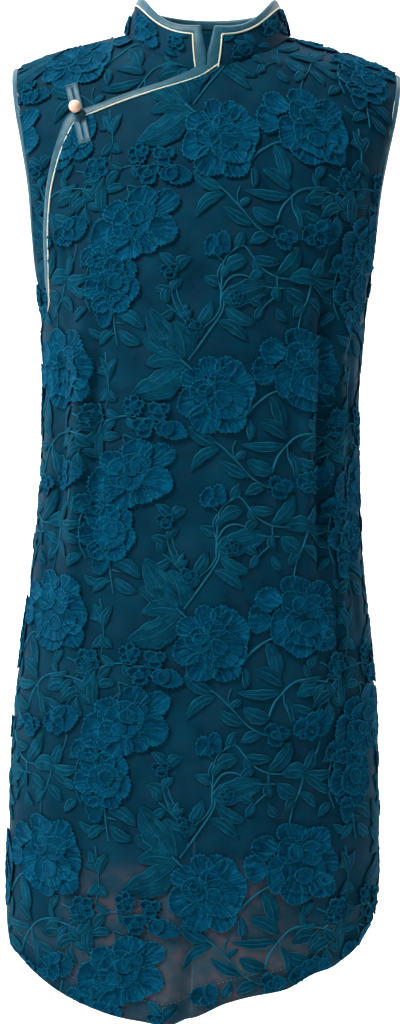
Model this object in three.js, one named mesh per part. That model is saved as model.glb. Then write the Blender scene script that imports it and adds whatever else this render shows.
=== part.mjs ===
// A sleeveless long vest in the cut of a qipao: one wide front that crosses to the
// wearer's right, a small under front on that shoulder, a back, a standing collar, satin
// bindings with a fine cord beside them, a half lining, and one straight frog with a ball button.
//
// Millimetres, +Z up. The front faces -Y and the wearer's left is +X.
// The origin is on the centre line at the height of the neck points, where the shoulder
// seams meet the collar: that is where the garment rests when it is worn.

import * as THREE from 'three';

// ---- walls, seams and trims ----
const CLOTH_WALL = 1.2;
const LINING_WALL = 1.0;
const BINDING_WALL = 1.8;
const COLLAR_WALL = 1.8;
const SEAM_GAP = 0.3;
const BINDING_PROUD = 0.2;          // the satin stands this far above the cloth beside it
const ARMHOLE_BINDING = 5.6;        // width on the outside
const COLLAR_BINDING = 9.5;
const CORD = 1.5;                   // fine piping cord beside the satin
const UNDER_DROP = 4.8;             // how far the under front lies beneath the wide front
const UNDER_TUCK = 11;              // how far it reaches in past the seam of the opening

// ---- body of the garment ----
const SECTION_POWER = 2.4;          // roundness of the level sections: 2 is an ellipse
const UNDERARM = -250;              // height of the underarm point
const CHEST = -300;                 // where the side opening ends
const LINING_HEM = -782;
const VENT_TOP = -797;
const ROW = 250;                    // height that one unit of "level" covers below the underarm

// ---- neck and collar ----
const NECK_HALF_WIDTH = 80;
const NECK_FRONT = 78;
const NECK_BACK = 62;
const COLLAR_TOP_HALF_WIDTH = 67.5;
const COLLAR_TOP_FRONT = 74;
const COLLAR_TOP_BACK = 55;
const COLLAR_TOP_SIDE_HEIGHT = 32;
const COLLAR_TOP_FRONT_HEIGHT = -11;
const COLLAR_NOTCH_HALF = 6.6;      // half of the notch at the top of the collar's opening
const COLLAR_NOTCH_FROM = 0.34;     // share of the height below which the two ends meet

// ---- frog and button ----
const BUTTON_RADIUS = 6;
const BUTTON_AT = { across: -116, height: -96.5 };
const FROG_WIDTH = 12;
const FROG_WALL = 2.0;

// ---- grid ----
const COLUMNS = 18;                 // panel columns from one side seam to the other
const OPENING_COLUMNS = 7;          // of these, the ones along the slanted opening
const NECK_COLUMNS = 5;             // and the ones along the half neckline
const ARMHOLE_ROWS = 10;
const BODY_ROWS = 8;
const HEM_ROWS = 3;

// The line of the shoulders, seen from the front.
const SHOULDER_LINE = [
  { across: 0, height: 18 },
  { across: 40, height: 13 },
  { across: 80, height: 0 },
  { across: 110, height: -8 },
  { across: 150, height: -20 },
  { across: 190, height: -37 },
  { across: 235, height: -58 },
];

// The yoke, from the shoulder seam (drop 0) to the underarm (drop 1). edge is the cloth's
// armhole edge, seen from the front; turn is that edge's depth as a share of the section's.
const YOKE = [
  { drop: 0.00, edge: 184.5, turn: 0.62, front: 0, back: 0 },
  { drop: 0.05, edge: 183.4, turn: 0.62, front: 27, back: 36 },
  { drop: 0.10, edge: 182.2, turn: 0.61, front: 45, back: 57 },
  { drop: 0.15, edge: 180.8, turn: 0.60, front: 58, back: 70 },
  { drop: 0.20, edge: 179.2, turn: 0.59, front: 69, back: 78 },
  { drop: 0.27, edge: 176.8, turn: 0.575, front: 80, back: 86 },
  { drop: 0.40, edge: 171.5, turn: 0.55, front: 96, back: 97 },
  { drop: 0.60, edge: 164.5, turn: 0.51, front: 111, back: 106 },
  { drop: 0.80, edge: 161.5, turn: 0.42, front: 119, back: 110 },
  { drop: 0.93, edge: 160.8, turn: 0.25, front: 122, back: 111 },
];

// Level sections from the underarm to the hem.
const BODY = [
  { height: -250, half: 160, front: 122, back: 111 },
  { height: -300, half: 155.5, front: 122, back: 108 },
  { height: -356, half: 152, front: 118, back: 103 },
  { height: -435, half: 154, front: 113, back: 99 },
  { height: -513, half: 159.5, front: 111, back: 101 },
  { height: -591, half: 168.5, front: 111, back: 107 },
  { height: -670, half: 176, front: 112, back: 111 },
  { height: -787, half: 179, front: 114, back: 113 },
  { height: -866, half: 179, front: 116, back: 114 },
  { height: -960, half: 179, front: 118, back: 115 },
];

// The hem: two curved tails. It hangs a little lower on the wearer's right.
const HEM = [
  { turn: -90, front: -858, back: -858 },
  { turn: -80, front: -878, back: -878 },
  { turn: -64, front: -887, back: -890 },
  { turn: -50, front: -901, back: -900 },
  { turn: -35, front: -915, back: -911 },
  { turn: -15, front: -929, back: -920 },
  { turn: -5, front: -932, back: -922 },
  { turn: 8, front: -912, back: -921 },
  { turn: 15, front: -906, back: -918 },
  { turn: 26, front: -901.5, back: -911 },
  { turn: 38, front: -888, back: -902 },
  { turn: 50, front: -882, back: -890 },
  { turn: 64, front: -865, back: -872 },
  { turn: 80, front: -842, back: -846 },
  { turn: 90, front: -824, back: -826 },
];
const VENT_SPREAD = 4;              // degrees that each vent edge has swung open at the foot

// The crossing edge, from the neckline down to the wearer's right side. Along each row,
// seam is the line where the satin begins and edge is its finished edge.
const OPENING = [
  { along: 0.0, seamAcross: 11, seamHeight: -48, edgeAcross: -9, edgeHeight: -50.5 },
  { along: 1.0, seamAcross: -5, seamHeight: -61, edgeAcross: -27, edgeHeight: -60.5 },
  { along: 2.0, seamAcross: -24, seamHeight: -68.8, edgeAcross: -43, edgeHeight: -67.5 },
  { along: 3.0, seamAcross: -44, seamHeight: -75.4, edgeAcross: -58, edgeHeight: -72.6 },
  { along: 4.5, seamAcross: -72, seamHeight: -84.8, edgeAcross: -80, edgeHeight: -80.2 },
  { along: 6.0, seamAcross: -101, seamHeight: -96, edgeAcross: -105, edgeHeight: -89.5 },
  { along: 7.0, seamAcross: -120, seamHeight: -104.5, edgeAcross: -128.5, edgeHeight: -97.5 },
  { along: 8.0, seamAcross: -129, seamHeight: -120, edgeAcross: -137, edgeHeight: -117 },
  { along: 9.5, seamAcross: -138, seamHeight: -147, edgeAcross: -144.5, edgeHeight: -145 },
  { along: 11.0, seamAcross: -143.5, seamHeight: -174, edgeAcross: -149, edgeHeight: -172.5 },
  { along: 13.0, seamAcross: -145.4, seamHeight: -208, edgeAcross: -150.8, edgeHeight: -207 },
  { along: 15.0, seamAcross: -144.5, seamHeight: -243, edgeAcross: -149.6, edgeHeight: -242 },
  { along: 16.5, seamAcross: -144.5, seamHeight: -268, edgeAcross: -149.2, edgeHeight: -265 },
  { along: 17.3, seamAcross: -149, seamHeight: -286, edgeAcross: -153, edgeHeight: -280 },
  { along: 18.0, seamAcross: -155.5, seamHeight: -300, edgeAcross: -156.4, edgeHeight: -290 },
];
const OPENING_CORNER = 7;
const OPENING_END = 18;

// The largest folds. turn is where each runs (top and foot), spread its half width in
// degrees round the body, rise its height: a ridge where positive and a trough where negative.
const FOLDS = [
  { side: -1, turnTop: -40, turnFoot: -40, top: -262, foot: -640, spread: 9, rise: 6 },
  { side: -1, turnTop: -30, turnFoot: -31, top: -300, foot: -520, spread: 6, rise: -4 },
  { side: -1, turnTop: 40, turnFoot: 42, top: -235, foot: -600, spread: 7, rise: -7 },
  { side: -1, turnTop: 60, turnFoot: 58, top: -280, foot: -560, spread: 8, rise: 4 },
  { side: -1, turnTop: -10, turnFoot: -10, top: -720, foot: -1010, spread: 9, rise: 10 },
  { side: -1, turnTop: 20, turnFoot: 22, top: -760, foot: -1010, spread: 9, rise: -6 },
  { side: 1, turnTop: -40, turnFoot: -42, top: -255, foot: -600, spread: 8, rise: -6 },
  { side: 1, turnTop: 40, turnFoot: 40, top: -270, foot: -650, spread: 9, rise: 5 },
  { side: 1, turnTop: 0, turnFoot: 0, top: -330, foot: -560, spread: 8, rise: -5 },
  { side: 1, turnTop: 20, turnFoot: 20, top: -720, foot: -1010, spread: 9, rise: 8 },
  { side: 1, turnTop: -20, turnFoot: -22, top: -730, foot: -1010, spread: 9, rise: -6 },
];

// ---- interpolation in the tables ----
function between(rows, key, column, at) {
  const last = rows.length - 1;
  if (at <= rows[0][key]) return rows[0][column];
  if (at >= rows[last][key]) return rows[last][column];
  let i = 0;
  while (rows[i + 1][key] < at) i += 1;
  const slope = (k) => (rows[k + 1][column] - rows[k][column]) / (rows[k + 1][key] - rows[k][key]);
  const tangent = (k) => {
    if (k === 0) return slope(0);
    if (k === last) return slope(last - 1);
    const a = slope(k - 1);
    const b = slope(k);
    return a * b <= 0 ? 0 : (2 * a * b) / (a + b);
  };
  const step = rows[i + 1][key] - rows[i][key];
  const t = (at - rows[i][key]) / step;
  const t2 = t * t;
  const t3 = t2 * t;
  return (2 * t3 - 3 * t2 + 1) * rows[i][column] + (t3 - 2 * t2 + t) * step * tangent(i)
    + (3 * t2 - 2 * t3) * rows[i + 1][column] + (t3 - t2) * step * tangent(i + 1);
}
const mix = (a, b, t) => a + (b - a) * t;
const smooth = (a, b, x) => {
  const t = Math.min(1, Math.max(0, (x - a) / (b - a)));
  return t * t * (3 - 2 * t);
};

// One list of sections for the whole garment. level is 0 on the shoulder seam, 1 at the
// underarm, and grows by 1 for each ROW below it.
const SECTIONS = [
  ...YOKE.map((r) => ({
    level: r.drop,
    half: r.edge / (1 - r.turn ** SECTION_POWER) ** (1 / SECTION_POWER),
    front: r.front,
    back: r.back,
  })),
  ...BODY.map((r) => ({ level: levelAt(0, r.height), half: r.half, front: r.front, back: r.back })),
];
function levelAt(across, height) {
  if (height <= UNDERARM) return 1 + (UNDERARM - height) / ROW;
  const top = between(SHOULDER_LINE, 'across', 'height', Math.abs(across));
  return Math.max(0, (top - height) / (top - UNDERARM));
}
const halfAt = (level) => between(SECTIONS, 'level', 'half', level);
const depthAt = (side, level) => between(SECTIONS, 'level', side < 0 ? 'front' : 'back', level);
const rad = (degrees) => (degrees * Math.PI) / 180;

// A place on the cloth: side -1 is the front and 1 the back, turn is in degrees round the
// body from the centre line (90 is the wearer's left side seam), and level is as above.
function bare(side, turn, level) {
  const power = 2 / SECTION_POWER;
  const s = Math.sin(rad(turn));
  const c = Math.max(0, Math.cos(rad(turn)));
  const x = halfAt(level) * Math.sign(s) * Math.abs(s) ** power;
  const y = side * (depthAt(side, level) * c ** power + SEAM_GAP / 2);
  const z = level <= 1
    ? mix(between(SHOULDER_LINE, 'across', 'height', Math.abs(x)), UNDERARM, level)
    : UNDERARM - (level - 1) * ROW;
  return new THREE.Vector3(x, y, z);
}
function bareNormal(side, turn, level) {
  const dt = 1.5;
  const dl = 0.02;
  const across = bare(side, Math.min(90, turn + dt), level).sub(bare(side, Math.max(-90, turn - dt), level));
  const down = bare(side, turn, level + dl).sub(bare(side, turn, Math.max(0, level - dl)));
  const n = across.cross(down).multiplyScalar(-side);
  return n.normalize().negate();
}
function foldRise(side, turn, z) {
  let rise = 0;
  for (const f of FOLDS) {
    if (f.side !== side || z > f.top || z < f.foot) continue;
    const t = (f.top - z) / (f.top - f.foot);
    const centre = mix(f.turnTop, f.turnFoot, t);
    const d = (turn - centre) / f.spread;
    rise += f.rise * Math.sin(Math.PI * t) * Math.exp(-d * d);
  }
  return rise * smooth(90, 80, Math.abs(turn));
}
function place(side, turn, level) {
  const p = bare(side, turn, level);
  const n = bareNormal(side, turn, level);
  if (level <= 0.001 || Math.abs(turn) >= 89.9) {
    n.y = 0;
    n.normalize();
  }
  p.addScaledVector(n, foldRise(side, turn, p.z));
  return { p, n };
}

// ---- places named by their height and distance across ----
function turnAt(across, level) {
  const share = Math.min(1, Math.abs(across) / halfAt(level));
  return (Math.sign(across) * Math.asin(share ** (SECTION_POWER / 2)) * 180) / Math.PI;
}
function spot(across, height) {
  const level = levelAt(across, height);
  return { turn: turnAt(across, level), level };
}
const seamSpot = (along) => spot(
  between(OPENING, 'along', 'seamAcross', along), between(OPENING, 'along', 'seamHeight', along));
const edgeSpot = (along) => spot(
  between(OPENING, 'along', 'edgeAcross', along), between(OPENING, 'along', 'edgeHeight', along));
const openingFoot = { turn: -90, level: levelAt(0, CHEST) };

// The armhole edge of the cloth at a level between the shoulder and the underarm.
const YOKE_TO_UNDERARM = [...YOKE, { drop: 1, turn: 0 }];
function armholeTurn(level) {
  if (level >= 1) return 90;
  const share = between(YOKE_TO_UNDERARM, 'drop', 'turn', level);
  return (Math.acos(share ** (SECTION_POWER / 2)) * 180) / Math.PI;
}

// The neckline: round is 0 at the centre front, 90 at the wearer's left neck point and 180
// at the centre back. In plan it is a round of the neck's sizes, and it lies on the cloth.
function neckSpot(round) {
  const front = Math.abs(round) <= 90;
  const side = front ? -1 : 1;
  const x = NECK_HALF_WIDTH * Math.sin(rad(round));
  const y = (front ? NECK_FRONT : NECK_BACK) * Math.abs(Math.cos(rad(round)));
  let low = 0;
  let high = 0.5;
  for (let k = 0; k < 40; k += 1) {
    const level = (low + high) / 2;
    const share = Math.abs(x) / halfAt(level);
    const depth = depthAt(side, level) * (1 - share ** SECTION_POWER) ** (1 / SECTION_POWER);
    if (depth < y) low = level; else high = level;
  }
  const level = Math.abs(Math.abs(round) - 90) < 1e-6 ? 0 : (low + high) / 2;
  return { side, turn: turnAt(x, level), level };
}
const neckRoundAt = (across) => (Math.asin(across / NECK_HALF_WIDTH) * 180) / Math.PI;

// ---- solids ----
function solid(name, vertices, faces, colour, roughness) {
  const position = new Float32Array(vertices.length * 3);
  vertices.forEach((v, i) => position.set([v.x, v.y, v.z], i * 3));
  let volume = 0;
  for (const [a, b, c] of faces) {
    volume += vertices[a].dot(vertices[b].clone().cross(vertices[c]));
  }
  const index = [];
  for (const [a, b, c] of faces) index.push(...(volume > 0 ? [a, b, c] : [a, c, b]));
  const geometry = new THREE.BufferGeometry();
  geometry.setAttribute('position', new THREE.BufferAttribute(position, 3));
  geometry.setIndex(index);
  geometry.computeVertexNormals();
  const mesh = new THREE.Mesh(geometry, new THREE.MeshStandardMaterial({ color: colour, roughness, metalness: 0 }));
  mesh.name = name;
  return mesh;
}

// A wall over a grid of places: its outer face is lifted off them by top, and it is wall thick.
function wallSolid(name, grid, top, wall, colour, roughness, ring = false) {
  const rows = grid.length;
  const columns = grid[0].length;
  const vertices = [];
  for (const depth of [top, top - wall]) {
    for (const row of grid) {
      for (const g of row) {
        vertices.push(g.p.clone().addScaledVector(g.n, depth + (g.lift ?? 0)));
      }
    }
  }
  const at = (layer, i, j) => layer * rows * columns + (i % rows) * columns + j;
  const faces = [];
  const quad = (a, b, c, d) => faces.push([a, b, c], [a, c, d]);
  const rowEnd = ring ? rows : rows - 1;
  for (let i = 0; i < rowEnd; i += 1) {
    for (let j = 0; j < columns - 1; j += 1) {
      quad(at(0, i, j), at(0, i + 1, j), at(0, i + 1, j + 1), at(0, i, j + 1));
      quad(at(1, i, j), at(1, i, j + 1), at(1, i + 1, j + 1), at(1, i + 1, j));
    }
    quad(at(0, i, 0), at(1, i, 0), at(1, i + 1, 0), at(0, i + 1, 0));
    quad(at(0, i, columns - 1), at(0, i + 1, columns - 1), at(1, i + 1, columns - 1), at(1, i, columns - 1));
  }
  if (!ring) {
    for (let j = 0; j < columns - 1; j += 1) {
      quad(at(0, 0, j), at(0, 0, j + 1), at(1, 0, j + 1), at(1, 0, j));
      quad(at(0, rows - 1, j), at(1, rows - 1, j), at(1, rows - 1, j + 1), at(0, rows - 1, j + 1));
    }
  }
  return solid(name, vertices, faces, colour, roughness);
}

// Four edges, each a list of spots, blended into a grid of spots.
function patch(topEdge, footEdge, rightEdge, leftEdge) {
  const rows = rightEdge.length;
  const columns = topEdge.length;
  const grid = [];
  for (let i = 0; i < rows; i += 1) {
    const v = i / (rows - 1);
    grid.push([]);
    for (let j = 0; j < columns; j += 1) {
      const u = j / (columns - 1);
      const blend = (key) => mix(topEdge[j][key], footEdge[j][key], v) + mix(rightEdge[i][key], leftEdge[i][key], u)
        - (mix(mix(topEdge[0][key], topEdge[columns - 1][key], u),
          mix(footEdge[0][key], footEdge[columns - 1][key], u), v));
      grid[i].push({ turn: blend('turn'), level: blend('level') });
    }
  }
  return grid;
}
const steps = (count, make) => Array.from({ length: count + 1 }, (_, k) => make(k / count, k));

// ---- rows below the chest line, shared by the front and the back ----
function bodyRows(side) {
  const column = side < 0 ? 'front' : 'back';
  const turns = steps(COLUMNS, (t) => mix(-90, 90, t));
  const rows = [];
  for (let i = 1; i <= BODY_ROWS; i += 1) {
    const level = levelAt(0, mix(CHEST, LINING_HEM, i / BODY_ROWS));
    rows.push(turns.map((turn) => ({ turn, level })));
  }
  for (let i = 1; i <= HEM_ROWS; i += 1) {
    const t = i / HEM_ROWS;
    rows.push(turns.map((turn) => {
      const hem = between(HEM, 'turn', column, turn);
      const height = mix(LINING_HEM, hem, t);
      const open = 1 - (VENT_SPREAD * smooth(VENT_TOP, -858, height)) / 90;
      return { turn: Math.abs(turn) === 90 ? turn * open : turn * mix(1, open, t), level: levelAt(0, height) };
    }));
  }
  return rows;
}
const chestLevel = levelAt(0, CHEST);
const chestRow = steps(COLUMNS, (t) => ({ turn: mix(-90, 90, t), level: chestLevel }));
const sideEdge = (sign) => [
  ...steps(ARMHOLE_ROWS, (t) => ({ turn: sign * armholeTurn(t), level: t })),
  { turn: sign * 90, level: chestLevel },
];

// ---- the wide front ----
const shoulderFrom = neckSpot(90).turn;
const frontTop = [
  ...steps(OPENING_COLUMNS, (t) => seamSpot(mix(OPENING_CORNER, 0, t))),
  ...steps(NECK_COLUMNS, (t) => neckSpot(mix(neckRoundAt(11), 90, t))).slice(1),
  ...steps(COLUMNS - OPENING_COLUMNS - NECK_COLUMNS, (t) => ({ turn: mix(shoulderFrom, armholeTurn(0), t), level: 0 })).slice(1),
];
frontTop[OPENING_COLUMNS] = neckSpot(neckRoundAt(11));
const openingSide = steps(ARMHOLE_ROWS + 1, (t) => (t === 1 ? openingFoot : seamSpot(mix(OPENING_CORNER, OPENING_END, t))));
const frontSpots = [...patch(frontTop, chestRow, openingSide, sideEdge(1)), ...bodyRows(-1)];
const frontGrid = frontSpots.map((row) => row.map((s) => place(-1, s.turn, s.level)));
const liningRows = ARMHOLE_ROWS + 2 + BODY_ROWS;

// ---- the back ----
const backTop = [
  ...steps(5, (t) => ({ turn: mix(-armholeTurn(0), -shoulderFrom, t), level: 0 })),
  ...steps(8, (t) => neckSpot(mix(-90, -270, t) < -180 ? mix(-90, -270, t) + 360 : mix(-90, -270, t))).slice(1),
  ...steps(5, (t) => ({ turn: mix(shoulderFrom, armholeTurn(0), t), level: 0 })).slice(1),
];
const backSpots = [...patch(backTop, chestRow, sideEdge(-1), sideEdge(1)), ...bodyRows(1)];
const backGrid = backSpots.map((row) => row.map((s) => place(1, s.turn, s.level)));

// ---- the small under front, on the wearer's right shoulder ----
function tuckSpot(along) {
  const a = Math.max(0, along - 0.25);
  const b = Math.min(OPENING_END, along + 0.25);
  const at = (key, t) => between(OPENING, 'along', key, t);
  const dx = at('seamAcross', b) - at('seamAcross', a);
  const dz = at('seamHeight', b) - at('seamHeight', a);
  const length = Math.hypot(dx, dz);
  const fade = smooth(OPENING_END, OPENING_END - 1.5, along);
  return spot(at('seamAcross', along) + (-dz / length) * UNDER_TUCK * fade,
    at('seamHeight', along) + (dx / length) * UNDER_TUCK * fade);
}
// How near a place is to the crossing edge, and so how far it is pressed in beneath it.
function tucked(side, turn, level) {
  const p = bare(side, turn, level);
  let near = 1e9;
  let inside = false;
  for (let k = 0; k <= 90; k += 1) {
    const along = (k / 90) * OPENING_END;
    const s = edgeSpot(along);
    const q = bare(-1, s.turn, s.level);
    const away = p.distanceTo(q);
    if (away < near) {
      const ahead = edgeSpot(Math.min(OPENING_END, along + 0.2));
      const back = edgeSpot(Math.max(0, along - 0.2));
      const run = bare(-1, ahead.turn, ahead.level).sub(bare(-1, back.turn, back.level));
      near = away;
      inside = run.x * (p.z - q.z) - run.z * (p.x - q.x) > 0;
    }
  }
  return -UNDER_DROP * (inside ? 1 : smooth(22, 3, near));
}
const underRight = [
  ...steps(3, (t) => neckSpot(mix(-90, neckRoundAt(11), t))),
  ...[0.9, 2.3, 3.7, 5.1, 6.6, 8.6, 12.5].map(tuckSpot),
  { turn: -86, level: chestLevel },
];
const underTop = steps(6, (t) => ({ turn: mix(-armholeTurn(0), -shoulderFrom, t), level: 0 }));
const underFoot = steps(6, (t) => ({ turn: mix(-90, -86, t), level: chestLevel }));
const underSpots = patch(underTop, underFoot, sideEdge(-1), underRight);
const underGrid = underSpots.map((row) => row.map((s) => {
  const g = place(-1, s.turn, s.level);
  g.lift = tucked(-1, s.turn, s.level);
  return g;
}));

// ---- each panel in five bands, one below the other ----
const BANDS = [
  { name: 'yoke', from: 0, to: 6 },
  { name: 'bust', from: 6, to: ARMHOLE_ROWS + 1 },
  { name: 'waist', from: ARMHOLE_ROWS + 1, to: ARMHOLE_ROWS + 4 },
  { name: 'hip', from: ARMHOLE_ROWS + 4, to: ARMHOLE_ROWS + 7 },
  { name: 'skirt', from: ARMHOLE_ROWS + 7, to: ARMHOLE_ROWS + 1 + BODY_ROWS + HEM_ROWS },
];
function bandGrid(grid, band) {
  const rows = grid.slice(band.from, band.to + 1);
  if (band.from === 0) return rows;
  const first = rows[0].map((g, j) => {
    const down = rows[1][j].p.clone().sub(g.p).normalize();
    return { p: g.p.clone().addScaledVector(down, SEAM_GAP), n: g.n };
  });
  return [first, ...rows.slice(1)];
}
const panelBands = (side, grid) => BANDS.map((band) => wallSolid(
  `${side}_${band.name}`, bandGrid(grid, band), 0, CLOTH_WALL, JACQUARD, 0.8));

// ---- bindings along an edge that the grids already have ----
function edgingGrid(line, outward, from, to) {
  return line.map((g, k) => {
    const d = outward[k];
    return [from, to].map((w) => ({ p: g.p.clone().addScaledVector(d, w), n: g.n, lift: g.lift }));
  });
}
function outwardOf(line, away, ring) {
  const count = line.length;
  return line.map((g, k) => {
    const before = line[ring ? (k + count - 1) % count : Math.max(0, k - 1)].p;
    const after = line[ring ? (k + 1) % count : Math.min(count - 1, k + 1)].p;
    const tangent = after.clone().sub(before).normalize();
    const d = new THREE.Vector3().crossVectors(tangent, g.n).normalize();
    return d.dot(away(g)) < 0 ? d.negate() : d;
  });
}
function armholeBinding(name, sign) {
  const column = sign > 0 ? COLUMNS : 0;
  const line = [];
  for (let i = 0; i <= ARMHOLE_ROWS; i += 1) {
    line.push(place(-1, sign * armholeTurn(i / ARMHOLE_ROWS), i / ARMHOLE_ROWS));
  }
  for (let i = ARMHOLE_ROWS - 1; i >= 1; i -= 1) line.push(backGrid[i][column]);
  line[0] = { p: line[0].p.clone().setY(0), n: line[0].n };
  line[ARMHOLE_ROWS] = { p: line[ARMHOLE_ROWS].p.clone().setY(0), n: line[ARMHOLE_ROWS].n };
  const centre = new THREE.Vector3(sign * 168, 0, -150);
  const outward = outwardOf(line, (g) => centre.clone().sub(g.p), true);
  return wallSolid(name, edgingGrid(line, outward, SEAM_GAP + 0.15, SEAM_GAP + 0.15 + ARMHOLE_BINDING),
    BINDING_PROUD, BINDING_WALL, 0x46808f, 0.45, true);
}

// The satin along the crossing edge, and the fine cord on its seam.
const openingAlong = [
  ...steps(OPENING_COLUMNS, (t) => mix(0, OPENING_CORNER, t)),
  ...steps(ARMHOLE_ROWS + 1, (t) => mix(OPENING_CORNER, OPENING_END, t)).slice(1, -1),
];
const openingSeam = [
  ...steps(OPENING_COLUMNS, (_, k) => frontGrid[0][OPENING_COLUMNS - k]),
  ...steps(ARMHOLE_ROWS, (_, k) => frontGrid[k][0]).slice(1),
];
const openingEdge = openingAlong.map((along) => {
  const s = edgeSpot(along);
  return place(-1, s.turn, s.level);
});
const openingGrid = openingSeam.map((g, k) => {
  const d = openingEdge[k].p.clone().sub(g.p).normalize();
  return [{ p: g.p.clone().addScaledVector(d, SEAM_GAP), n: g.n }, openingEdge[k]];
});
const pipingGrid = openingSeam.map((g, k) => {
  const d = openingEdge[k].p.clone().sub(g.p).normalize();
  return [-CORD / 2, CORD / 2].map((w) => ({ p: g.p.clone().addScaledVector(d, w), n: g.n }));
});

// ---- the collar ----
// Where the collar stands: the straight stretches between the corners of the panels' neckline.
const neckCorners = [
  ...steps(3, (t, k) => ({ round: mix(-90, neckRoundAt(11), t), p: underGrid[k][6].p })),
  ...steps(NECK_COLUMNS, (t, k) => ({ round: mix(neckRoundAt(11), 90, t), p: frontGrid[0][OPENING_COLUMNS + k].p })).slice(1),
  ...steps(8, (t, k) => ({ round: mix(90, 270, t), p: backGrid[0][13 - k].p })).slice(1),
];
function neckFoot(round) {
  const at = round < -90 ? round + 360 : round;
  let k = 0;
  while (k < neckCorners.length - 2 && neckCorners[k + 1].round < at) k += 1;
  const a = neckCorners[k];
  const b = neckCorners[k + 1];
  return a.p.clone().lerp(b.p, (at - a.round) / (b.round - a.round));
}
function collarPlace(round, up) {
  const foot = neckFoot(round);
  const low = foot.clone().addScaledVector(new THREE.Vector3(-foot.x, -foot.y, 0).normalize(), 0.5);
  low.z += 0.7;
  const front = Math.abs(round) <= 90;
  const lean = Math.min(1, Math.sin(rad(Math.min(80, Math.abs(round)) * 1.125)) ** 2) ** 1.8;
  const high = new THREE.Vector3(
    COLLAR_TOP_HALF_WIDTH * Math.sin(rad(round)),
    -(front ? COLLAR_TOP_FRONT : COLLAR_TOP_BACK) * Math.cos(rad(round)),
    mix(COLLAR_TOP_FRONT_HEIGHT, COLLAR_TOP_SIDE_HEIGHT, lean));
  const rise = high.clone().sub(low);
  const outward = new THREE.Vector3(Math.sin(rad(round)), -Math.cos(rad(round)), 0);
  const tangent = new THREE.Vector3(Math.cos(rad(round)), Math.sin(rad(round)), 0);
  const n = new THREE.Vector3().crossVectors(tangent, rise).normalize();
  if (n.dot(outward) < 0) n.negate();
  const p = low.addScaledVector(rise, up).addScaledVector(n, 1.5 * Math.sin(Math.PI * up));
  return { p, n, height: rise.length() };
}
const collarEnd = (up) => {
  const open = Math.min(1, Math.max(0, (up - COLLAR_NOTCH_FROM) / (1 - COLLAR_NOTCH_FROM)));
  return (Math.asin((0.4 + (COLLAR_NOTCH_HALF - 0.4) * open) / COLLAR_TOP_FRONT) * 180) / Math.PI;
};
const collarInset = (COLLAR_BINDING / COLLAR_TOP_FRONT) * (180 / Math.PI);
const collarSeamUp = 1 - COLLAR_BINDING / 41;
const COLLAR_STEPS = 22;
const roundAt = (t, up, inset) => mix(collarEnd(up) + inset, 360 - collarEnd(up) - inset, t);
const wrap = (round) => (round > 180 ? round - 360 : round);
const COLLAR_UPS = [0, 0.25, 0.5, collarSeamUp];
const collarGrid = COLLAR_UPS.map((up) => steps(COLLAR_STEPS,
  (t) => collarPlace(wrap(roundAt(t, collarSeamUp, collarInset)), up)));

// The satin runs up one end of the collar, round its top and down the other end.
function collarLine(gapIn) {
  const ends = COLLAR_UPS.slice(0, 3);
  const seam = [];
  const edge = [];
  const put = (a, b, upA, upB) => {
    seam.push(collarPlace(wrap(a), upA));
    edge.push(collarPlace(wrap(b), upB));
  };
  const start = roundAt(0, collarSeamUp, collarInset);
  for (const up of ends) put(start - gapIn, collarEnd(up), up, up);
  put(start - gapIn, collarEnd(0.9), collarSeamUp, 0.86);
  put(start - gapIn * 0.7, collarEnd(1) + 2.2, collarSeamUp + gapIn * 0.012, 0.975);
  for (let k = 1; k < COLLAR_STEPS; k += 1) {
    const round = roundAt(k / COLLAR_STEPS, collarSeamUp, collarInset);
    put(round, round, collarSeamUp + gapIn * 0.018, 1);
  }
  const stop = roundAt(1, collarSeamUp, collarInset);
  put(stop + gapIn * 0.7, 360 - collarEnd(1) - 2.2, collarSeamUp + gapIn * 0.012, 0.975);
  put(stop + gapIn, 360 - collarEnd(0.9), collarSeamUp, 0.86);
  for (const up of [...ends].reverse()) put(stop + gapIn, 360 - collarEnd(up), up, up);
  return seam.map((g, k) => [g, edge[k]]);
}
const collarBindingGrid = collarLine(0.5);
// The piping follows the same seam, mitred where it turns at the two upper corners.
const collarPipingGrid = (() => {
  const start = roundAt(0, collarSeamUp, collarInset);
  const stop = roundAt(1, collarSeamUp, collarInset);
  const path = [
    ...COLLAR_UPS.map((up) => ({ round: start, up })),
    ...steps(COLLAR_STEPS, (t) => ({ round: roundAt(t, collarSeamUp, collarInset), up: collarSeamUp })).slice(1, -1),
    ...[...COLLAR_UPS].reverse().map((up) => ({ round: stop, up })),
  ].map(({ round, up }) => collarPlace(wrap(round), up));
  return path.map((g, k) => {
    const before = path[Math.max(0, k - 1)].p;
    const after = path[Math.min(path.length - 1, k + 1)].p;
    const side = (from, to) => new THREE.Vector3().crossVectors(to.clone().sub(from), g.n).normalize().negate();
    const a = side(k === 0 ? g.p : before, k === 0 ? after : g.p);
    const b = side(k === path.length - 1 ? before : g.p, k === path.length - 1 ? g.p : after);
    const d = a.clone().add(b).normalize();
    const reach = (CORD / 2) / Math.max(0.6, d.dot(a));
    return [-1, 1].map((w) => ({ p: g.p.clone().addScaledVector(d, w * reach), n: g.n }));
  });
})();

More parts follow.
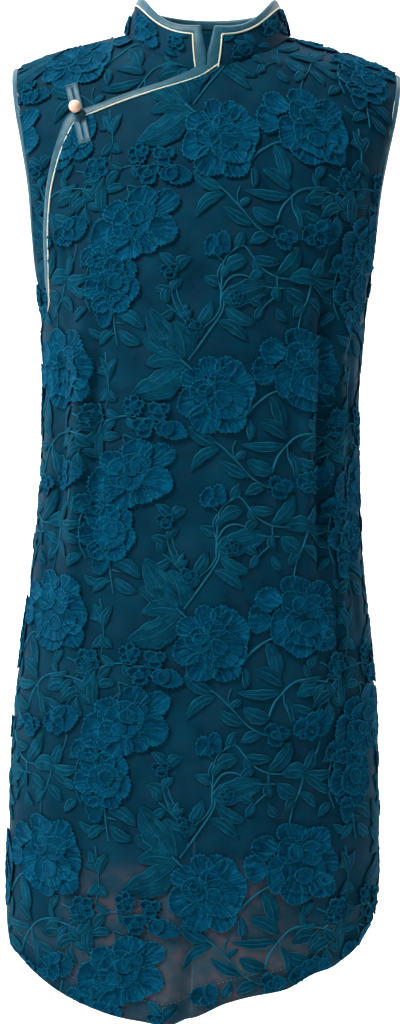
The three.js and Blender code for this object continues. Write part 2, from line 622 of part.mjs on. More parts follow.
// ---- the frog ----
function onFront(across, height, lift = 0) {
  const s = spot(across, height);
  const g = place(-1, s.turn, s.level);
  g.lift = lift;
  return g;
}
function frogGrid(from, to, pressed, count) {
  const dx = to.across - from.across;
  const dz = to.height - from.height;
  const length = Math.hypot(dx, dz);
  const sx = -dz / length;
  const sz = dx / length;
  return steps(count, (t) => [-0.5, -0.08, 0.08, 0.5].map((w) => {
    const x = mix(from.across, to.across, t) + sx * w * FROG_WIDTH;
    const z = mix(from.height, to.height, t) + sz * w * FROG_WIDTH;
    const g = onFront(x, z);
    const s = spot(x, z);
    g.lift = (pressed ? 0.6 * tucked(-1, s.turn, s.level) : 0) + (Math.abs(w) < 0.1 ? -0.5 : 0);
    return g;
  }));
}
const button = onFront(BUTTON_AT.across, BUTTON_AT.height);
function bead() {
  const sphere = new THREE.SphereGeometry(BUTTON_RADIUS, 12, 8);
  const mesh = new THREE.Mesh(sphere, new THREE.MeshStandardMaterial({ color: 0xf3bfa0, roughness: 0.3, metalness: 0 }));
  mesh.name = 'button';
  mesh.position.copy(button.p.clone().addScaledVector(button.n, BUTTON_RADIUS + 6.2));
  return mesh;
}
function loop() {
  const torus = new THREE.TorusGeometry(4.4, 1.3, 6, 14);
  const mesh = new THREE.Mesh(torus, new THREE.MeshStandardMaterial({ color: 0x3f7d90, roughness: 0.5, metalness: 0 }));
  mesh.name = 'frog_loop';
  mesh.position.copy(button.p.clone().addScaledVector(button.n, 3.4));
  mesh.quaternion.setFromUnitVectors(new THREE.Vector3(0, 0, 1), button.n);
  return mesh;
}

// ---- the garment ----
const JACQUARD = 0x14506e;
const SATIN = 0x46808f;
const CORD_COLOUR = 0xe6ebd7;
const LINING = 0x10303c;

const vest = new THREE.Group();
vest.name = 'long_vest';
vest.add(
  ...panelBands('front', frontGrid),
  wallSolid('under_front', underGrid, 0, CLOTH_WALL, JACQUARD, 0.8),
  ...panelBands('back', backGrid),
  wallSolid('front_lining', frontGrid.slice(0, liningRows), -CLOTH_WALL - SEAM_GAP, LINING_WALL, LINING, 0.7),
  wallSolid('under_front_lining', underGrid, -CLOTH_WALL - 4 * SEAM_GAP, LINING_WALL, LINING, 0.7),
  wallSolid('back_lining', backGrid.slice(0, liningRows), -CLOTH_WALL - SEAM_GAP, LINING_WALL, LINING, 0.7),
  wallSolid('collar', collarGrid, 0, COLLAR_WALL, JACQUARD, 0.8),
  wallSolid('collar_binding', collarBindingGrid, BINDING_PROUD, COLLAR_WALL + 2 * BINDING_PROUD, SATIN, 0.45),
  wallSolid('collar_piping', collarPipingGrid, BINDING_PROUD + SEAM_GAP + 1.1, 1.1, CORD_COLOUR, 0.6),
  wallSolid('opening_binding', openingGrid, BINDING_PROUD, BINDING_WALL, SATIN, 0.45),
  wallSolid('opening_piping', pipingGrid, BINDING_PROUD + SEAM_GAP + 1.1, 1.1, CORD_COLOUR, 0.6),
  armholeBinding('armhole_binding_left', 1),
  armholeBinding('armhole_binding_right', -1),
  wallSolid('frog_upper', frogGrid({ across: -125, height: -70.5 }, { across: -121.4, height: -84.5 }, true, 2),
    2 * SEAM_GAP + FROG_WALL, FROG_WALL, SATIN, 0.5),
  wallSolid('frog_lower', frogGrid({ across: -116, height: -104 }, { across: -111.5, height: -122 }, false, 2),
    BINDING_PROUD + 2 * SEAM_GAP + 1.3 + FROG_WALL, FROG_WALL, SATIN, 0.5),
  loop(),
  bead(),
);

export default vest;
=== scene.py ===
import math
import bpy
import numpy as np
from mathutils import Matrix, Vector


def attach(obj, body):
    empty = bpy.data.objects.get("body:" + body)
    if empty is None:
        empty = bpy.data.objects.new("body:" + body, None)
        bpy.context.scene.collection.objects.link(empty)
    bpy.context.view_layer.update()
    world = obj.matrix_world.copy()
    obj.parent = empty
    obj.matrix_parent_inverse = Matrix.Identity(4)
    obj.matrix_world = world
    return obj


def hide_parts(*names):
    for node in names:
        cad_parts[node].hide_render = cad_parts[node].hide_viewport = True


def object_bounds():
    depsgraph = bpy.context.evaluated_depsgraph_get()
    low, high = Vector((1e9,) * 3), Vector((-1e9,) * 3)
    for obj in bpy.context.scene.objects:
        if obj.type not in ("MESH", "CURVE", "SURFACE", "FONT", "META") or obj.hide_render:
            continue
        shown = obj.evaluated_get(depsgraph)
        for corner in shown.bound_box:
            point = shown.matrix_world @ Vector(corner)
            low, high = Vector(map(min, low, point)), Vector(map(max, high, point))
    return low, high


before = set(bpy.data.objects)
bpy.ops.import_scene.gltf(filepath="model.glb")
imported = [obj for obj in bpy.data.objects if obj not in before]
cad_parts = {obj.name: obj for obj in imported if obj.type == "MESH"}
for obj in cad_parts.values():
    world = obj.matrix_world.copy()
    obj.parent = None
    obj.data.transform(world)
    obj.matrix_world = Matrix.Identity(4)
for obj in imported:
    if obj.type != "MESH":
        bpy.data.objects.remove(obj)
CAD_LOW, CAD_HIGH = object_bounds()
CAD_LOW, CAD_HIGH = list(CAD_LOW), list(CAD_HIGH)

# =====================================================================================
# The garment's sizes, in millimetres, in the row frame: +Z up, the front faces -Y.
# =====================================================================================
POWER = 2.4
UNDERARM, CHEST, LINING_HEM, VENT_TOP, ROW = -250.0, -300.0, -782.0, -797.0, 250.0
NECK_HALF, NECK_FRONT, NECK_BACK = 80.0, 78.0, 62.0
TOP_HALF, TOP_FRONT, TOP_BACK = 67.5, 74.0, 55.0
TOP_SIDE_Z, TOP_FRONT_Z = 32.0, -11.0
SEAM_GAP = 0.3
VENT_SPREAD = 4.0

SHOULDER_LINE = dict(across=[0, 40, 80, 110, 150, 190, 235], height=[18, 13, 0, -8, -20, -37, -58])
YOKE = dict(
    drop=[0.00, 0.05, 0.10, 0.15, 0.20, 0.27, 0.40, 0.60, 0.80, 0.93],
    edge=[184.5, 183.4, 182.2, 180.8, 179.2, 176.8, 171.5, 164.5, 161.5, 160.8],
    turn=[0.62, 0.62, 0.61, 0.60, 0.59, 0.575, 0.55, 0.51, 0.42, 0.25],
    front=[0, 27, 45, 58, 69, 80, 96, 111, 119, 122],
    back=[0, 36, 57, 70, 78, 86, 97, 106, 110, 111],
)
BODY = dict(
    height=[-250, -300, -356, -435, -513, -591, -670, -787, -866, -960],
    half=[160, 155.5, 152, 154, 159.5, 168.5, 176, 179, 179, 179],
    front=[122, 122, 118, 113, 111, 111, 112, 114, 116, 118],
    back=[111, 108, 103, 99, 101, 107, 111, 113, 114, 115],
)
HEM = dict(
    turn=[-90, -80, -64, -50, -35, -15, -5, 8, 15, 26, 38, 50, 64, 80, 90],
    front=[-858, -878, -887, -901, -915, -929, -932, -912, -906, -901.5, -888, -882, -865, -842, -824],
    back=[-858, -878, -890, -900, -911, -920, -922, -921, -918, -911, -902, -890, -872, -846, -826],
)
OPENING = dict(
    along=[0, 1, 2, 3, 4.5, 6, 7, 8, 9.5, 11, 13, 15, 16.5, 17.3, 18],
    seam_x=[11, -5, -24, -44, -72, -101, -120, -129, -138, -143.5, -145.4, -144.5, -144.5, -149, -155.5],
    seam_z=[-48, -61, -68.8, -75.4, -84.8, -96, -104.5, -120, -147, -174, -208, -243, -268, -286, -300],
    edge_x=[-9, -27, -43, -58, -80, -105, -128.5, -137, -144.5, -149, -150.8, -149.6, -149.2, -153, -156.4],
    edge_z=[-50.5, -60.5, -67.5, -72.6, -80.2, -89.5, -97.5, -117, -145, -172.5, -207, -242, -265, -280, -290],
)
CORNER, OPENING_END = 7.0, 18.0


class Track:
    """A smooth line through a table's rows that never overshoots them."""

    def __init__(self, xs, ys):
        self.x, self.y = np.asarray(xs, float), np.asarray(ys, float)
        step = np.diff(self.x)
        slope = np.diff(self.y) / step
        m = np.zeros(len(self.x))
        m[0], m[-1] = slope[0], slope[-1]
        a, b = slope[:-1], slope[1:]
        good = a * b > 0
        m[1:-1][good] = 2 * a[good] * b[good] / (a[good] + b[good])
        self.m = m

    def __call__(self, at):
        at = np.clip(np.asarray(at, float), self.x[0], self.x[-1])
        i = np.clip(np.searchsorted(self.x, at, side="right") - 1, 0, len(self.x) - 2)
        step = self.x[i + 1] - self.x[i]
        t = (at - self.x[i]) / step
        t2, t3 = t * t, t * t * t
        return (
            (2 * t3 - 3 * t2 + 1) * self.y[i]
            + (t3 - 2 * t2 + t) * step * self.m[i]
            + (3 * t2 - 2 * t3) * self.y[i + 1]
            + (t3 - t2) * step * self.m[i + 1]
        )


shoulder = Track(SHOULDER_LINE["across"], SHOULDER_LINE["height"])
_levels = YOKE["drop"] + [1 + (UNDERARM - h) / ROW for h in BODY["height"]]
_yoke_half = [e / (1 - t**POWER) ** (1 / POWER) for e, t in zip(YOKE["edge"], YOKE["turn"])]
half_at = Track(_levels, _yoke_half + BODY["half"])
depth_at = {-1: Track(_levels, YOKE["front"] + BODY["front"]), 1: Track(_levels, YOKE["back"] + BODY["back"])}
hem_z = {-1: Track(HEM["turn"], HEM["front"]), 1: Track(HEM["turn"], HEM["back"])}
arm_share = Track(YOKE["drop"] + [1.0], YOKE["turn"] + [0.0])
open_line = {k: Track(OPENING["along"], OPENING[k]) for k in ("seam_x", "seam_z", "edge_x", "edge_z")}


def smooth(a, b, x):
    t = np.clip((np.asarray(x, float) - a) / (b - a), 0, 1)
    return t * t * (3 - 2 * t)


def mix(a, b, t):
    return a + (b - a) * t


def level_at(across, height):
    across, height = np.abs(np.asarray(across, float)), np.asarray(height, float)
    top = shoulder(across)
    upper = np.clip((top - height) / (top - UNDERARM), 0, None)
    return np.where(height <= UNDERARM, 1 + (UNDERARM - height) / ROW, upper)


def arm_turn(level):
    share = arm_share(np.clip(level, 0, 1))
    return np.where(np.asarray(level) >= 1, 90.0, np.degrees(np.arccos(share ** (POWER / 2))))


def turn_at(across, level):
    share = np.minimum(1, np.abs(across) / half_at(level))
    return np.sign(across) * np.degrees(np.arcsin(share ** (POWER / 2)))


def bare(side, turn, level):
    e = 2 / POWER
    s, c = np.sin(np.radians(turn)), np.cos(np.radians(turn))
    x = half_at(level) * np.sign(s) * np.abs(s) ** e
    y = side * (depth_at[side](level) * np.sign(c) * np.abs(c) ** e + SEAM_GAP / 2)
    z = np.where(level <= 1, mix(shoulder(np.abs(x)), UNDERARM, level), UNDERARM - (level - 1) * ROW)
    return np.stack([x, y, z], -1)


def neck_spot(round_):
    """Side, turn and level of the neckline at an angle from the centre front."""
    r = ((round_ + 180) % 360) - 180
    side = -1 if abs(r) <= 90 else 1
    x = NECK_HALF * math.sin(math.radians(r))
    y = (NECK_FRONT if side < 0 else NECK_BACK) * abs(math.cos(math.radians(r)))
    low, high = 0.0, 0.5
    for _ in range(40):
        mid = (low + high) / 2
        share = abs(x) / float(half_at(mid))
        depth = float(depth_at[side](mid)) * (1 - share**POWER) ** (1 / POWER)
        low, high = (mid, high) if depth < y else (low, mid)
    level = 0.0 if abs(abs(r) - 90) < 1e-6 else (low + high) / 2
    return side, float(turn_at(x, level)), level


# =====================================================================================
# Creases, listed one by one. at and to are the distances round the cloth from the centre
# line at its top and its foot, top and foot its heights, wide its half width, rise its
# height off the cloth (negative for a trough), bow how far its middle swings sideways.
# =====================================================================================
FRONT_CREASES = [
    # the long ridge on the wearer's right, with the trough beside it
    dict(at=-112, to=-126, top=-262, foot=-640, wide=12, rise=9.5, bow=4),
    dict(at=-95, to=-98, top=-284, foot=-500, wide=7.5, rise=-6.0, bow=-3),
    dict(at=-140, to=-150, top=-296, foot=-570, wide=7, rise=-6.0, bow=2),
    # the narrow slit of a crease beside the binding
    dict(at=-140, to=-134, top=-206, foot=-262, wide=3.2, rise=-3.2, bow=1),
    # the deep trough on the wearer's left
    dict(at=118, to=120, top=-244, foot=-556, wide=7, rise=-11.0, bow=-2),
    dict(at=103, to=104, top=-256, foot=-536, wide=8, rise=6.0, bow=-2),
    dict(at=138, to=143, top=-238, foot=-480, wide=9, rise=4.2, bow=2),
    # two short dark nicks low on the wearer's right side, and the pressed centre line of the skirt
    dict(at=-141, to=-147, top=-424, foot=-460, wide=2.6, rise=-3.4, bow=0),
    dict(at=-153, to=-160, top=-474, foot=-512, wide=2.8, rise=-3.6, bow=0),
    dict(at=2, to=0.4, top=-690, foot=-925, wide=1.8, rise=0.9, bow=0),
    dict(at=160, to=152, top=-300, foot=-640, wide=7, rise=-3.2, bow=3),
    dict(at=126, to=152, top=-500, foot=-720, wide=7.5, rise=-4.2, bow=4),
    # small puckers near the side seams
    dict(at=122, to=136, top=-338, foot=-368, wide=4.5, rise=-3.4, bow=0),
    dict(at=163, to=159, top=-326, foot=-396, wide=3.8, rise=-2.4, bow=1),
    dict(at=152, to=147, top=-392, foot=-446, wide=4.0, rise=-2.8, bow=-1),
    dict(at=110, to=134, top=-444, foot=-470, wide=4.2, rise=-3.0, bow=0),
    dict(at=141, to=138, top=-488, foot=-582, wide=3.8, rise=-3.6, bow=2),
    dict(at=169, to=166, top=-530, foot=-590, wide=3.6, rise=-2.6, bow=0),
    dict(at=128, to=134, top=-596, foot=-650, wide=4.2, rise=-2.6, bow=-2),
    dict(at=-163, to=-157, top=-500, foot=-556, wide=3.4, rise=-3.2, bow=0),
    dict(at=-150, to=-156, top=-366, foot=-414, wide=3.6, rise=-2.6, bow=1),
    dict(at=-170, to=-163, top=-566, foot=-628, wide=3.8, rise=-2.8, bow=0),
    dict(at=-138, to=-144, top=-628, foot=-690, wide=4.2, rise=-2.6, bow=-2),
    # short pulls from the underarms
    dict(at=-150, to=-118, top=-262, foot=-330, wide=6, rise=2.4, bow=0),
    dict(at=-158, to=-128, top=-292, foot=-372, wide=5.5, rise=-2.2, bow=0),
    dict(at=158, to=132, top=-258, foot=-322, wide=6, rise=2.2, bow=0),
    dict(at=165, to=140, top=-286, foot=-352, wide=5, rise=-2.4, bow=0),
    # soft hollows between the bust and the shoulder
    dict(at=-58, to=-84, top=-128, foot=-300, wide=15, rise=-1.6, bow=5),
    dict(at=62, to=92, top=-120, foot=-290, wide=14, rise=-1.4, bow=-5),
    # the skirt
    dict(at=-150, to=-108, top=-700, foot=-880, wide=11, rise=3.2, bow=5),
    dict(at=-166, to=-128, top=-730, foot=-900, wide=9, rise=-3.0, bow=3),
    dict(at=-36, to=-46, top=-720, foot=-1010, wide=13, rise=-2.0, bow=3),
    dict(at=-14, to=-30, top=-800, foot=-1040, wide=12, rise=6.0, bow=0),
    dict(at=4, to=-14, top=-830, foot=-1050, wide=6, rise=-4.6, bow=0),
    dict(at=52, to=60, top=-620, foot=-1000, wide=18, rise=2.0, bow=-5),
    dict(at=86, to=100, top=-680, foot=-980, wide=14, rise=-2.2, bow=4),
    dict(at=132, to=122, top=-735, foot=-940, wide=10, rise=2.6, bow=3),
    dict(at=160, to=140, top=-790, foot=-930, wide=9, rise=-3.0, bow=2),
    dict(at=30, to=16, top=-400, foot=-620, wide=20, rise=1.3, bow=6),
    dict(at=-30, to=-22, top=-470, foot=-700, wide=17, rise=-1.4, bow=-5),
]
BACK_CREASES = [
    dict(at=-116, to=-124, top=-262, foot=-600, wide=12, rise=-4.6, bow=3),
    dict(at=-134, to=-142, top=-250, foot=-520, wide=10, rise=3.6, bow=-3),
    dict(at=118, to=124, top=-256, foot=-630, wide=13, rise=4.4, bow=4),
    dict(at=100, to=98, top=-300, foot=-500, wide=9, rise=-3.2, bow=-3),
    dict(at=146, to=150, top=-280, foot=-560, wide=8, rise=-3.0, bow=2),
    dict(at=0, to=6, top=-320, foot=-540, wide=16, rise=-2.6, bow=5),
    dict(at=-42, to=-30, top=-350, foot=-560, wide=14, rise=1.8, bow=-4),
    dict(at=46, to=36, top=-340, foot=-590, wide=15, rise=1.6, bow=4),
    dict(at=-66, to=-92, top=-110, foot=-290, wide=16, rise=-1.6, bow=5),
    dict(at=64, to=90, top=-104, foot=-300, wide=15, rise=-1.4, bow=-5),
    dict(at=158, to=128, top=-258, foot=-330, wide=6, rise=2.4, bow=0),
    dict(at=-160, to=-132, top=-262, foot=-342, wide=6, rise=-2.2, bow=0),
    dict(at=-96, to=-104, top=-660, foot=-1000, wide=15, rise=2.6, bow=5),
    dict(at=-60, to=-66, top=-720, foot=-1020, wide=12, rise=-2.6, bow=-3),
    dict(at=20, to=34, top=-700, foot=-1030, wide=14, rise=4.2, bow=-4),
    dict(at=-8, to=-4, top=-760, foot=-1030, wide=11, rise=-3.4, bow=3),
    dict(at=92, to=80, top=-690, foot=-1000, wide=12, rise=-2.6, bow=4),
    dict(at=134, to=120, top=-720, foot=-960, wide=10, rise=2.8, bow=-3),
    dict(at=-148, to=-136, top=-740, foot=-950, wide=9, rise=-2.8, bow=2),
]


def crease_rise(side, u, z):
    total = np.zeros(np.broadcast(u, z).shape)
    for f in FRONT_CREASES if side < 0 else BACK_CREASES:
        t = (f["top"] - z) / (f["top"] - f["foot"])
        inside = (t > 0) & (t < 1)
        tt = np.clip(t, 0, 1)
        centre = mix(f["at"], f["to"], tt) + f["bow"] * np.sin(np.pi * tt)
        d = np.abs(u - centre) / f["wide"]
        window = np.sin(np.pi * tt**0.85) ** 0.8
        total += np.where(inside, f["rise"] * window * np.exp(-(d**1.8)), 0)
    return total


# =====================================================================================
# The cloth as a map: u is the distance round the body from the centre line and v the
# distance down the cloth from the shoulder seam. Each side is worked out once on a fine
# grid, creases included, and everything that lies on the cloth reads its place from there.
# =====================================================================================
DU, NV = 2.0, 520
LEVELS = np.linspace(0, 3.96, NV)
REACH = 300


def build_side(side):
    turns = np.linspace(0, 112, 449)
    t, l = np.meshgrid(turns, LEVELS)
    p = bare(side, t, l)
    arc = np.concatenate([np.zeros((NV, 1)), np.cumsum(np.linalg.norm(np.diff(p, axis=1), axis=2), axis=1)], axis=1)
    ref = bare(side, np.full(NV, 30.0), LEVELS)
    v_of = np.concatenate([[0], np.cumsum(np.linalg.norm(np.diff(ref, axis=0), axis=1))])
    us = np.arange(0, REACH + DU, DU)
    turn_u = np.stack([np.interp(us, arc[k], turns) for k in range(NV)])
    p = bare(side, turn_u, LEVELS[:, None] + 0 * turn_u)
    full_u = np.concatenate([-us[:0:-1], us])
    mirror = p[:, :0:-1].copy()
    mirror[..., 0] *= -1
    p = np.concatenate([mirror, p], axis=1)
    turn_full = np.concatenate([-turn_u[:, :0:-1], turn_u], axis=1)

    def normals(q):
        across = np.gradient(q, axis=1)
        down = np.gradient(q, axis=0)
        n = np.cross(across, down) * (1 if side < 0 else -1)
        return n / np.maximum(np.linalg.norm(n, axis=2, keepdims=True), 1e-9)

    n = normals(p)
    # outward: away from the axis of the body
    flip = np.sign((n * (p * [1, 1, 0])).sum(2)).mean()
    if flip < 0:
        n = -n
    fade = smooth(90, 80, np.abs(turn_full))
    rise = crease_rise(side, full_u[None, :] + 0 * turn_full, p[..., 2]) * fade
    p = p + n * rise[..., None]
    n2 = normals(p)
    if (n2 * n).sum(2).mean() < 0:
        n2 = -n2
    flat = fade[..., None]
    n2 = n2 * flat + n * (1 - flat)
    n2 /= np.maximum(np.linalg.norm(n2, axis=2, keepdims=True), 1e-9)
    return dict(side=side, p=p, n=n2, v_of=v_of, arc=arc, turns=turns, turn=turn_full)


SIDES = {s: build_side(s) for s in (-1, 1)}


def to_uv(side, turn, level):
    m = SIDES[side]
    turn, level = np.asarray(turn, float), np.asarray(level, float)
    row = np.clip(level / LEVELS[-1] * (NV - 1), 0, NV - 1.001)
    col = np.clip(np.abs(turn) / m["turns"][-1] * (len(m["turns"]) - 1), 0, len(m["turns"]) - 1.001)
    i, j = row.astype(int), col.astype(int)
    a, b = row - i, col - j
    arc = m["arc"]
    u = (arc[i, j] * (1 - a) * (1 - b) + arc[i + 1, j] * a * (1 - b) + arc[i, j + 1] * (1 - a) * b + arc[i + 1, j + 1] * a * b)
    return np.sign(turn) * u, np.interp(level, LEVELS, m["v_of"])


def on_cloth(side, u, v):
    """Place and outward direction for cloth distances u and v."""
    m = SIDES[side]
    row = np.interp(v, m["v_of"], np.arange(NV))
    row = np.clip(row, 0, NV - 1.001)
    col = np.clip((np.asarray(u, float) + REACH) / DU, 0, m["p"].shape[1] - 1.001)
    i, j = row.astype(int), col.astype(int)
    a, b = (row - i)[..., None], (col - j)[..., None]
    out = []
    for g in (m["p"], m["n"]):
        out.append(g[i, j] * (1 - a) * (1 - b) + g[i + 1, j] * a * (1 - b) + g[i, j + 1] * (1 - a) * b + g[i + 1, j + 1] * a * b)
    p, n = out
    return p, n / np.maximum(np.linalg.norm(n, axis=-1, keepdims=True), 1e-9)


def v_at(side, height, across=90.0):
    level = level_at(across, height)
    return np.interp(level, LEVELS, SIDES[side]["v_of"])


# ---- the edges of each panel, in cloth distances ----
def curve(side, turns, levels):
    u, v = to_uv(side, np.asarray(turns), np.asarray(levels))
    return np.stack([u, v], -1)


def resample(line, count):
    line = np.asarray(line, float)
    run = np.concatenate([[0], np.cumsum(np.linalg.norm(np.diff(line, axis=0), axis=1))])
    at = np.linspace(0, run[-1], count)
    return np.stack([np.interp(at, run, line[:, k]) for k in range(line.shape[1])], -1)


CHEST_LEVEL = float(level_at(0, CHEST))
SHOULDER_TURN = neck_spot(90)[1]


def opening_uv(kind, along):
    x, z = open_line[kind + "_x"](along), open_line[kind + "_z"](along)
    level = level_at(x, z)
    return curve(-1, turn_at(x, level), level)


def neck_uv(start, stop, count):
    spots = [neck_spot(r) for r in np.linspace(start, stop, count)]
    return curve(spots[len(spots) // 2][0], [s[1] for s in spots], [s[2] for s in spots])


def shoulder_uv(side, sign, count):
    return curve(side, sign * np.linspace(SHOULDER_TURN, float(arm_turn(0.0)), count), np.zeros(count))


def side_uv(side, sign, count_arm=60, count_seam=8):
    lv = np.linspace(0, 1, count_arm)
    a = curve(side, sign * arm_turn(lv), lv)
    lv2 = np.linspace(1, CHEST_LEVEL, count_seam)[1:]
    return np.concatenate([a, curve(side, np.full(len(lv2), sign * 90.0), lv2)])


def vent_uv(side, sign, count):
    hem = float(hem_z[side](sign * 90.0))
    z = np.linspace(CHEST, hem, count)
    turn = sign * (90 - VENT_SPREAD * smooth(VENT_TOP, -858, z))
    return curve(side, turn, level_at(0, z))


def hem_uv(side, count):
    turn = np.linspace(-90, 90, count)
    z = hem_z[side](turn)
    return curve(side, turn * (90 - VENT_SPREAD * smooth(VENT_TOP, -858, z)) / 90, level_at(0, z))


def coons(top, foot, right, left):
    """Four edges of cloth distances, blended. Rows run from top to foot, columns from right to left."""
    n, m = len(right), len(top)
    v = np.linspace(0, 1, n)[:, None, None]
    u = np.linspace(0, 1, m)[None, :, None]
    return (
        top[None] * (1 - v) + foot[None] * v + right[:, None] * (1 - u) + left[:, None] * u
        - (top[0] * (1 - u) * (1 - v) + top[-1] * u * (1 - v) + foot[0] * (1 - u) * v + foot[-1] * u * v)
    )


def panel_uv(side, top, right_yoke, left_yoke, columns, yoke_rows, body_rows, foot_z=None):
    turn = np.linspace(-90, 90, 181)
    chest = resample(curve(side, turn, np.full(181, CHEST_LEVEL)), columns)
    upper = coons(resample(top, columns), chest, resample(right_yoke, yoke_rows), resample(left_yoke, yoke_rows))
    if foot_z is None:
        foot = resample(hem_uv(side, 361), columns)
        right, left = vent_uv(side, -1, 60), vent_uv(side, 1, 60)
    else:
        foot = resample(curve(side, turn, np.full(181, float(level_at(0, foot_z)))), columns)
        z = np.linspace(CHEST, foot_z, 60)
        right, left = curve(side, np.full(60, -90.0), level_at(0, z)), curve(side, np.full(60, 90.0), level_at(0, z))
    lower = coons(chest, foot, resample(right, body_rows), resample(left, body_rows))
    return np.concatenate([upper, lower[1:]])


ROUND_11 = math.degrees(math.asin(11 / NECK_HALF))
FRONT_TOP = np.concatenate([
    opening_uv("seam", np.linspace(CORNER, 0, 60))[:-1],
    neck_uv(ROUND_11, 90, 40),
    shoulder_uv(-1, 1, 40)[1:],
])
FRONT_SIDE = opening_uv("seam", np.linspace(CORNER, OPENING_END, 90))
FRONT_SIDE[-1] = curve(-1, [-90.0], [CHEST_LEVEL])[0]
BACK_TOP = np.concatenate([
    shoulder_uv(1, -1, 40)[::-1][:-1],
    neck_uv(-90.0001, -269.9999, 80),
    shoulder_uv(1, 1, 40)[1:],
])


# =====================================================================================
# Mesh making
# =====================================================================================
def new_mesh(name, verts, quads=None, tris=None, uv=None, tone=None):
    """verts in millimetres; quads and tris are index arrays; uv and tone are given for each vertex."""
    faces = []
    if quads is not None and len(quads):
        faces.append(np.asarray(quads, np.int32))
    if tris is not None and len(tris):
        faces.append(np.asarray(tris, np.int32))
    loops = np.concatenate([f.ravel() for f in faces])
    sizes = np.concatenate([np.full(len(f), f.shape[1], np.int32) for f in faces])
    mesh = bpy.data.meshes.new(name)
    mesh.vertices.add(len(verts))
    mesh.vertices.foreach_set("co", (np.asarray(verts, float) / 1000).astype(np.float32).ravel())
    mesh.loops.add(len(loops))
    mesh.loops.foreach_set("vertex_index", loops)
    mesh.polygons.add(len(sizes))
    mesh.polygons.foreach_set("loop_start", np.concatenate([[0], np.cumsum(sizes)[:-1]]).astype(np.int32))
    mesh.polygons.foreach_set("use_smooth", np.ones(len(sizes), bool))
    if uv is not None:
        layer = mesh.uv_layers.new(name="UVMap")
        layer.data.foreach_set("uv", np.asarray(uv, np.float32)[loops].ravel())
    if tone is not None:
        attr = mesh.color_attributes.new(name="Tone", type="FLOAT_COLOR", domain="POINT")
        attr.data.foreach_set("color", np.asarray(tone, np.float32).ravel())
    mesh.update(calc_edges=True)
    mesh.validate(clean_customdata=False)
    obj = bpy.data.objects.new(name, mesh)
    bpy.context.scene.collection.objects.link(obj)
    return obj


def outward(verts, quads):
    """Quads of a closed mesh, turned so that its faces look out."""
    v = np.asarray(verts, float)
    q = np.asarray(quads)
    tri = np.concatenate([q[:, [0, 1, 2]], q[:, [0, 2, 3]]])
    a, b, c = v[tri[:, 0]], v[tri[:, 1]], v[tri[:, 2]]
    return q if (a * np.cross(b, c)).sum() > 0 else q[:, ::-1]


def shell(p, n, top, wall):
    """Vertices and quads of a closed wall over a grid of places."""
    rows, cols = p.shape[:2]
    outer = p + n * np.asarray(top)[..., None] if np.ndim(top) else p + n * top
    inner = outer - n * wall
    verts = np.concatenate([outer.reshape(-1, 3), inner.reshape(-1, 3)])
    idx = np.arange(rows * cols).reshape(rows, cols)
    a, b, c, d = idx[:-1, :-1].ravel(), idx[1:, :-1].ravel(), idx[1:, 1:].ravel(), idx[:-1, 1:].ravel()
    m = rows * cols
    quads = [np.stack([a, b, c, d], 1), np.stack([a, d, c, b], 1) + m]
    for line in (idx[:, 0], idx[::-1, -1], idx[0, ::-1], idx[-1, :]):
        s, e = line[:-1], line[1:]
        quads.append(np.stack([s, s + m, e + m, e], 1))
    return verts, outward(verts, np.concatenate(quads))


def tube(path, across, up, width, height, count=10, closed=False, shape=2.0, taper=None):
    """A bar with a rounded section along a path. across and up are its section's axes."""
    a = np.linspace(0, 2 * math.pi, count, endpoint=False)
    c, s = np.cos(a), np.sin(a)
    cx = np.sign(c) * np.abs(c) ** (2 / shape)
    sy = np.sign(s) * np.abs(s) ** (2 / shape)
    width = np.broadcast_to(np.asarray(width, float), (len(path),))
    height = np.broadcast_to(np.asarray(height, float), (len(path),))
    scale = np.ones(len(path)) if taper is None else np.asarray(taper, float)
    ring = (path[:, None] + across[:, None] * (cx[None, :, None] * (width * scale)[:, None, None] / 2)
            + up[:, None] * (sy[None, :, None] * (height * scale)[:, None, None] / 2))
    k = len(path)
    idx = np.arange(k * count).reshape(k, count)
    nxt = np.roll(idx, -1, axis=1)
    if closed:
        lower, lower_n = np.roll(idx, -1, axis=0), np.roll(nxt, -1, axis=0)
        quads = np.stack([idx.ravel(), nxt.ravel(), lower_n.ravel(), lower.ravel()], 1)
        verts = ring.reshape(-1, 3)
        return verts, outward(verts, quads), np.zeros((0, 3), int)
    quads = np.stack([idx[:-1].ravel(), nxt[:-1].ravel(), nxt[1:].ravel(), idx[1:].ravel()], 1)
    verts = np.concatenate([ring.reshape(-1, 3), ring[0].mean(0)[None], ring[-1].mean(0)[None]])
    turned = outward(verts, quads)
    keep = (turned[0] == quads[0]).all()
    t0 = np.stack([np.full(count, k * count), nxt[0], idx[0]], 1)
    t1 = np.stack([np.full(count, k * count + 1), idx[-1], nxt[-1]], 1)
    tris = np.concatenate([t0, t1])
    if not keep:
        tris = tris[:, ::-1]
    return verts, turned, tris


class Batch:
    """Many closed pieces gathered into one mesh."""

    def __init__(self):
        self.v, self.q, self.t, self.uv, self.tone, self.n = [], [], [], [], [], 0

    def add(self, verts, quads=None, tris=None, uv=None, tone=None):
        self.v.append(np.asarray(verts, float))
        if quads is not None and len(quads):
            self.q.append(np.asarray(quads) + self.n)
        if tris is not None and len(tris):
            self.t.append(np.asarray(tris) + self.n)
        self.uv.append(np.zeros((len(verts), 2)) if uv is None else np.asarray(uv, float))
        self.tone.append(np.tile([0, 0.5, 0, 1.0], (len(verts), 1)) if tone is None else np.asarray(tone, float))
        self.n += len(verts)

    def make(self, name):
        return new_mesh(name, np.concatenate(self.v), np.concatenate(self.q) if self.q else None,
                        np.concatenate(self.t) if self.t else None, np.concatenate(self.uv), np.concatenate(self.tone))


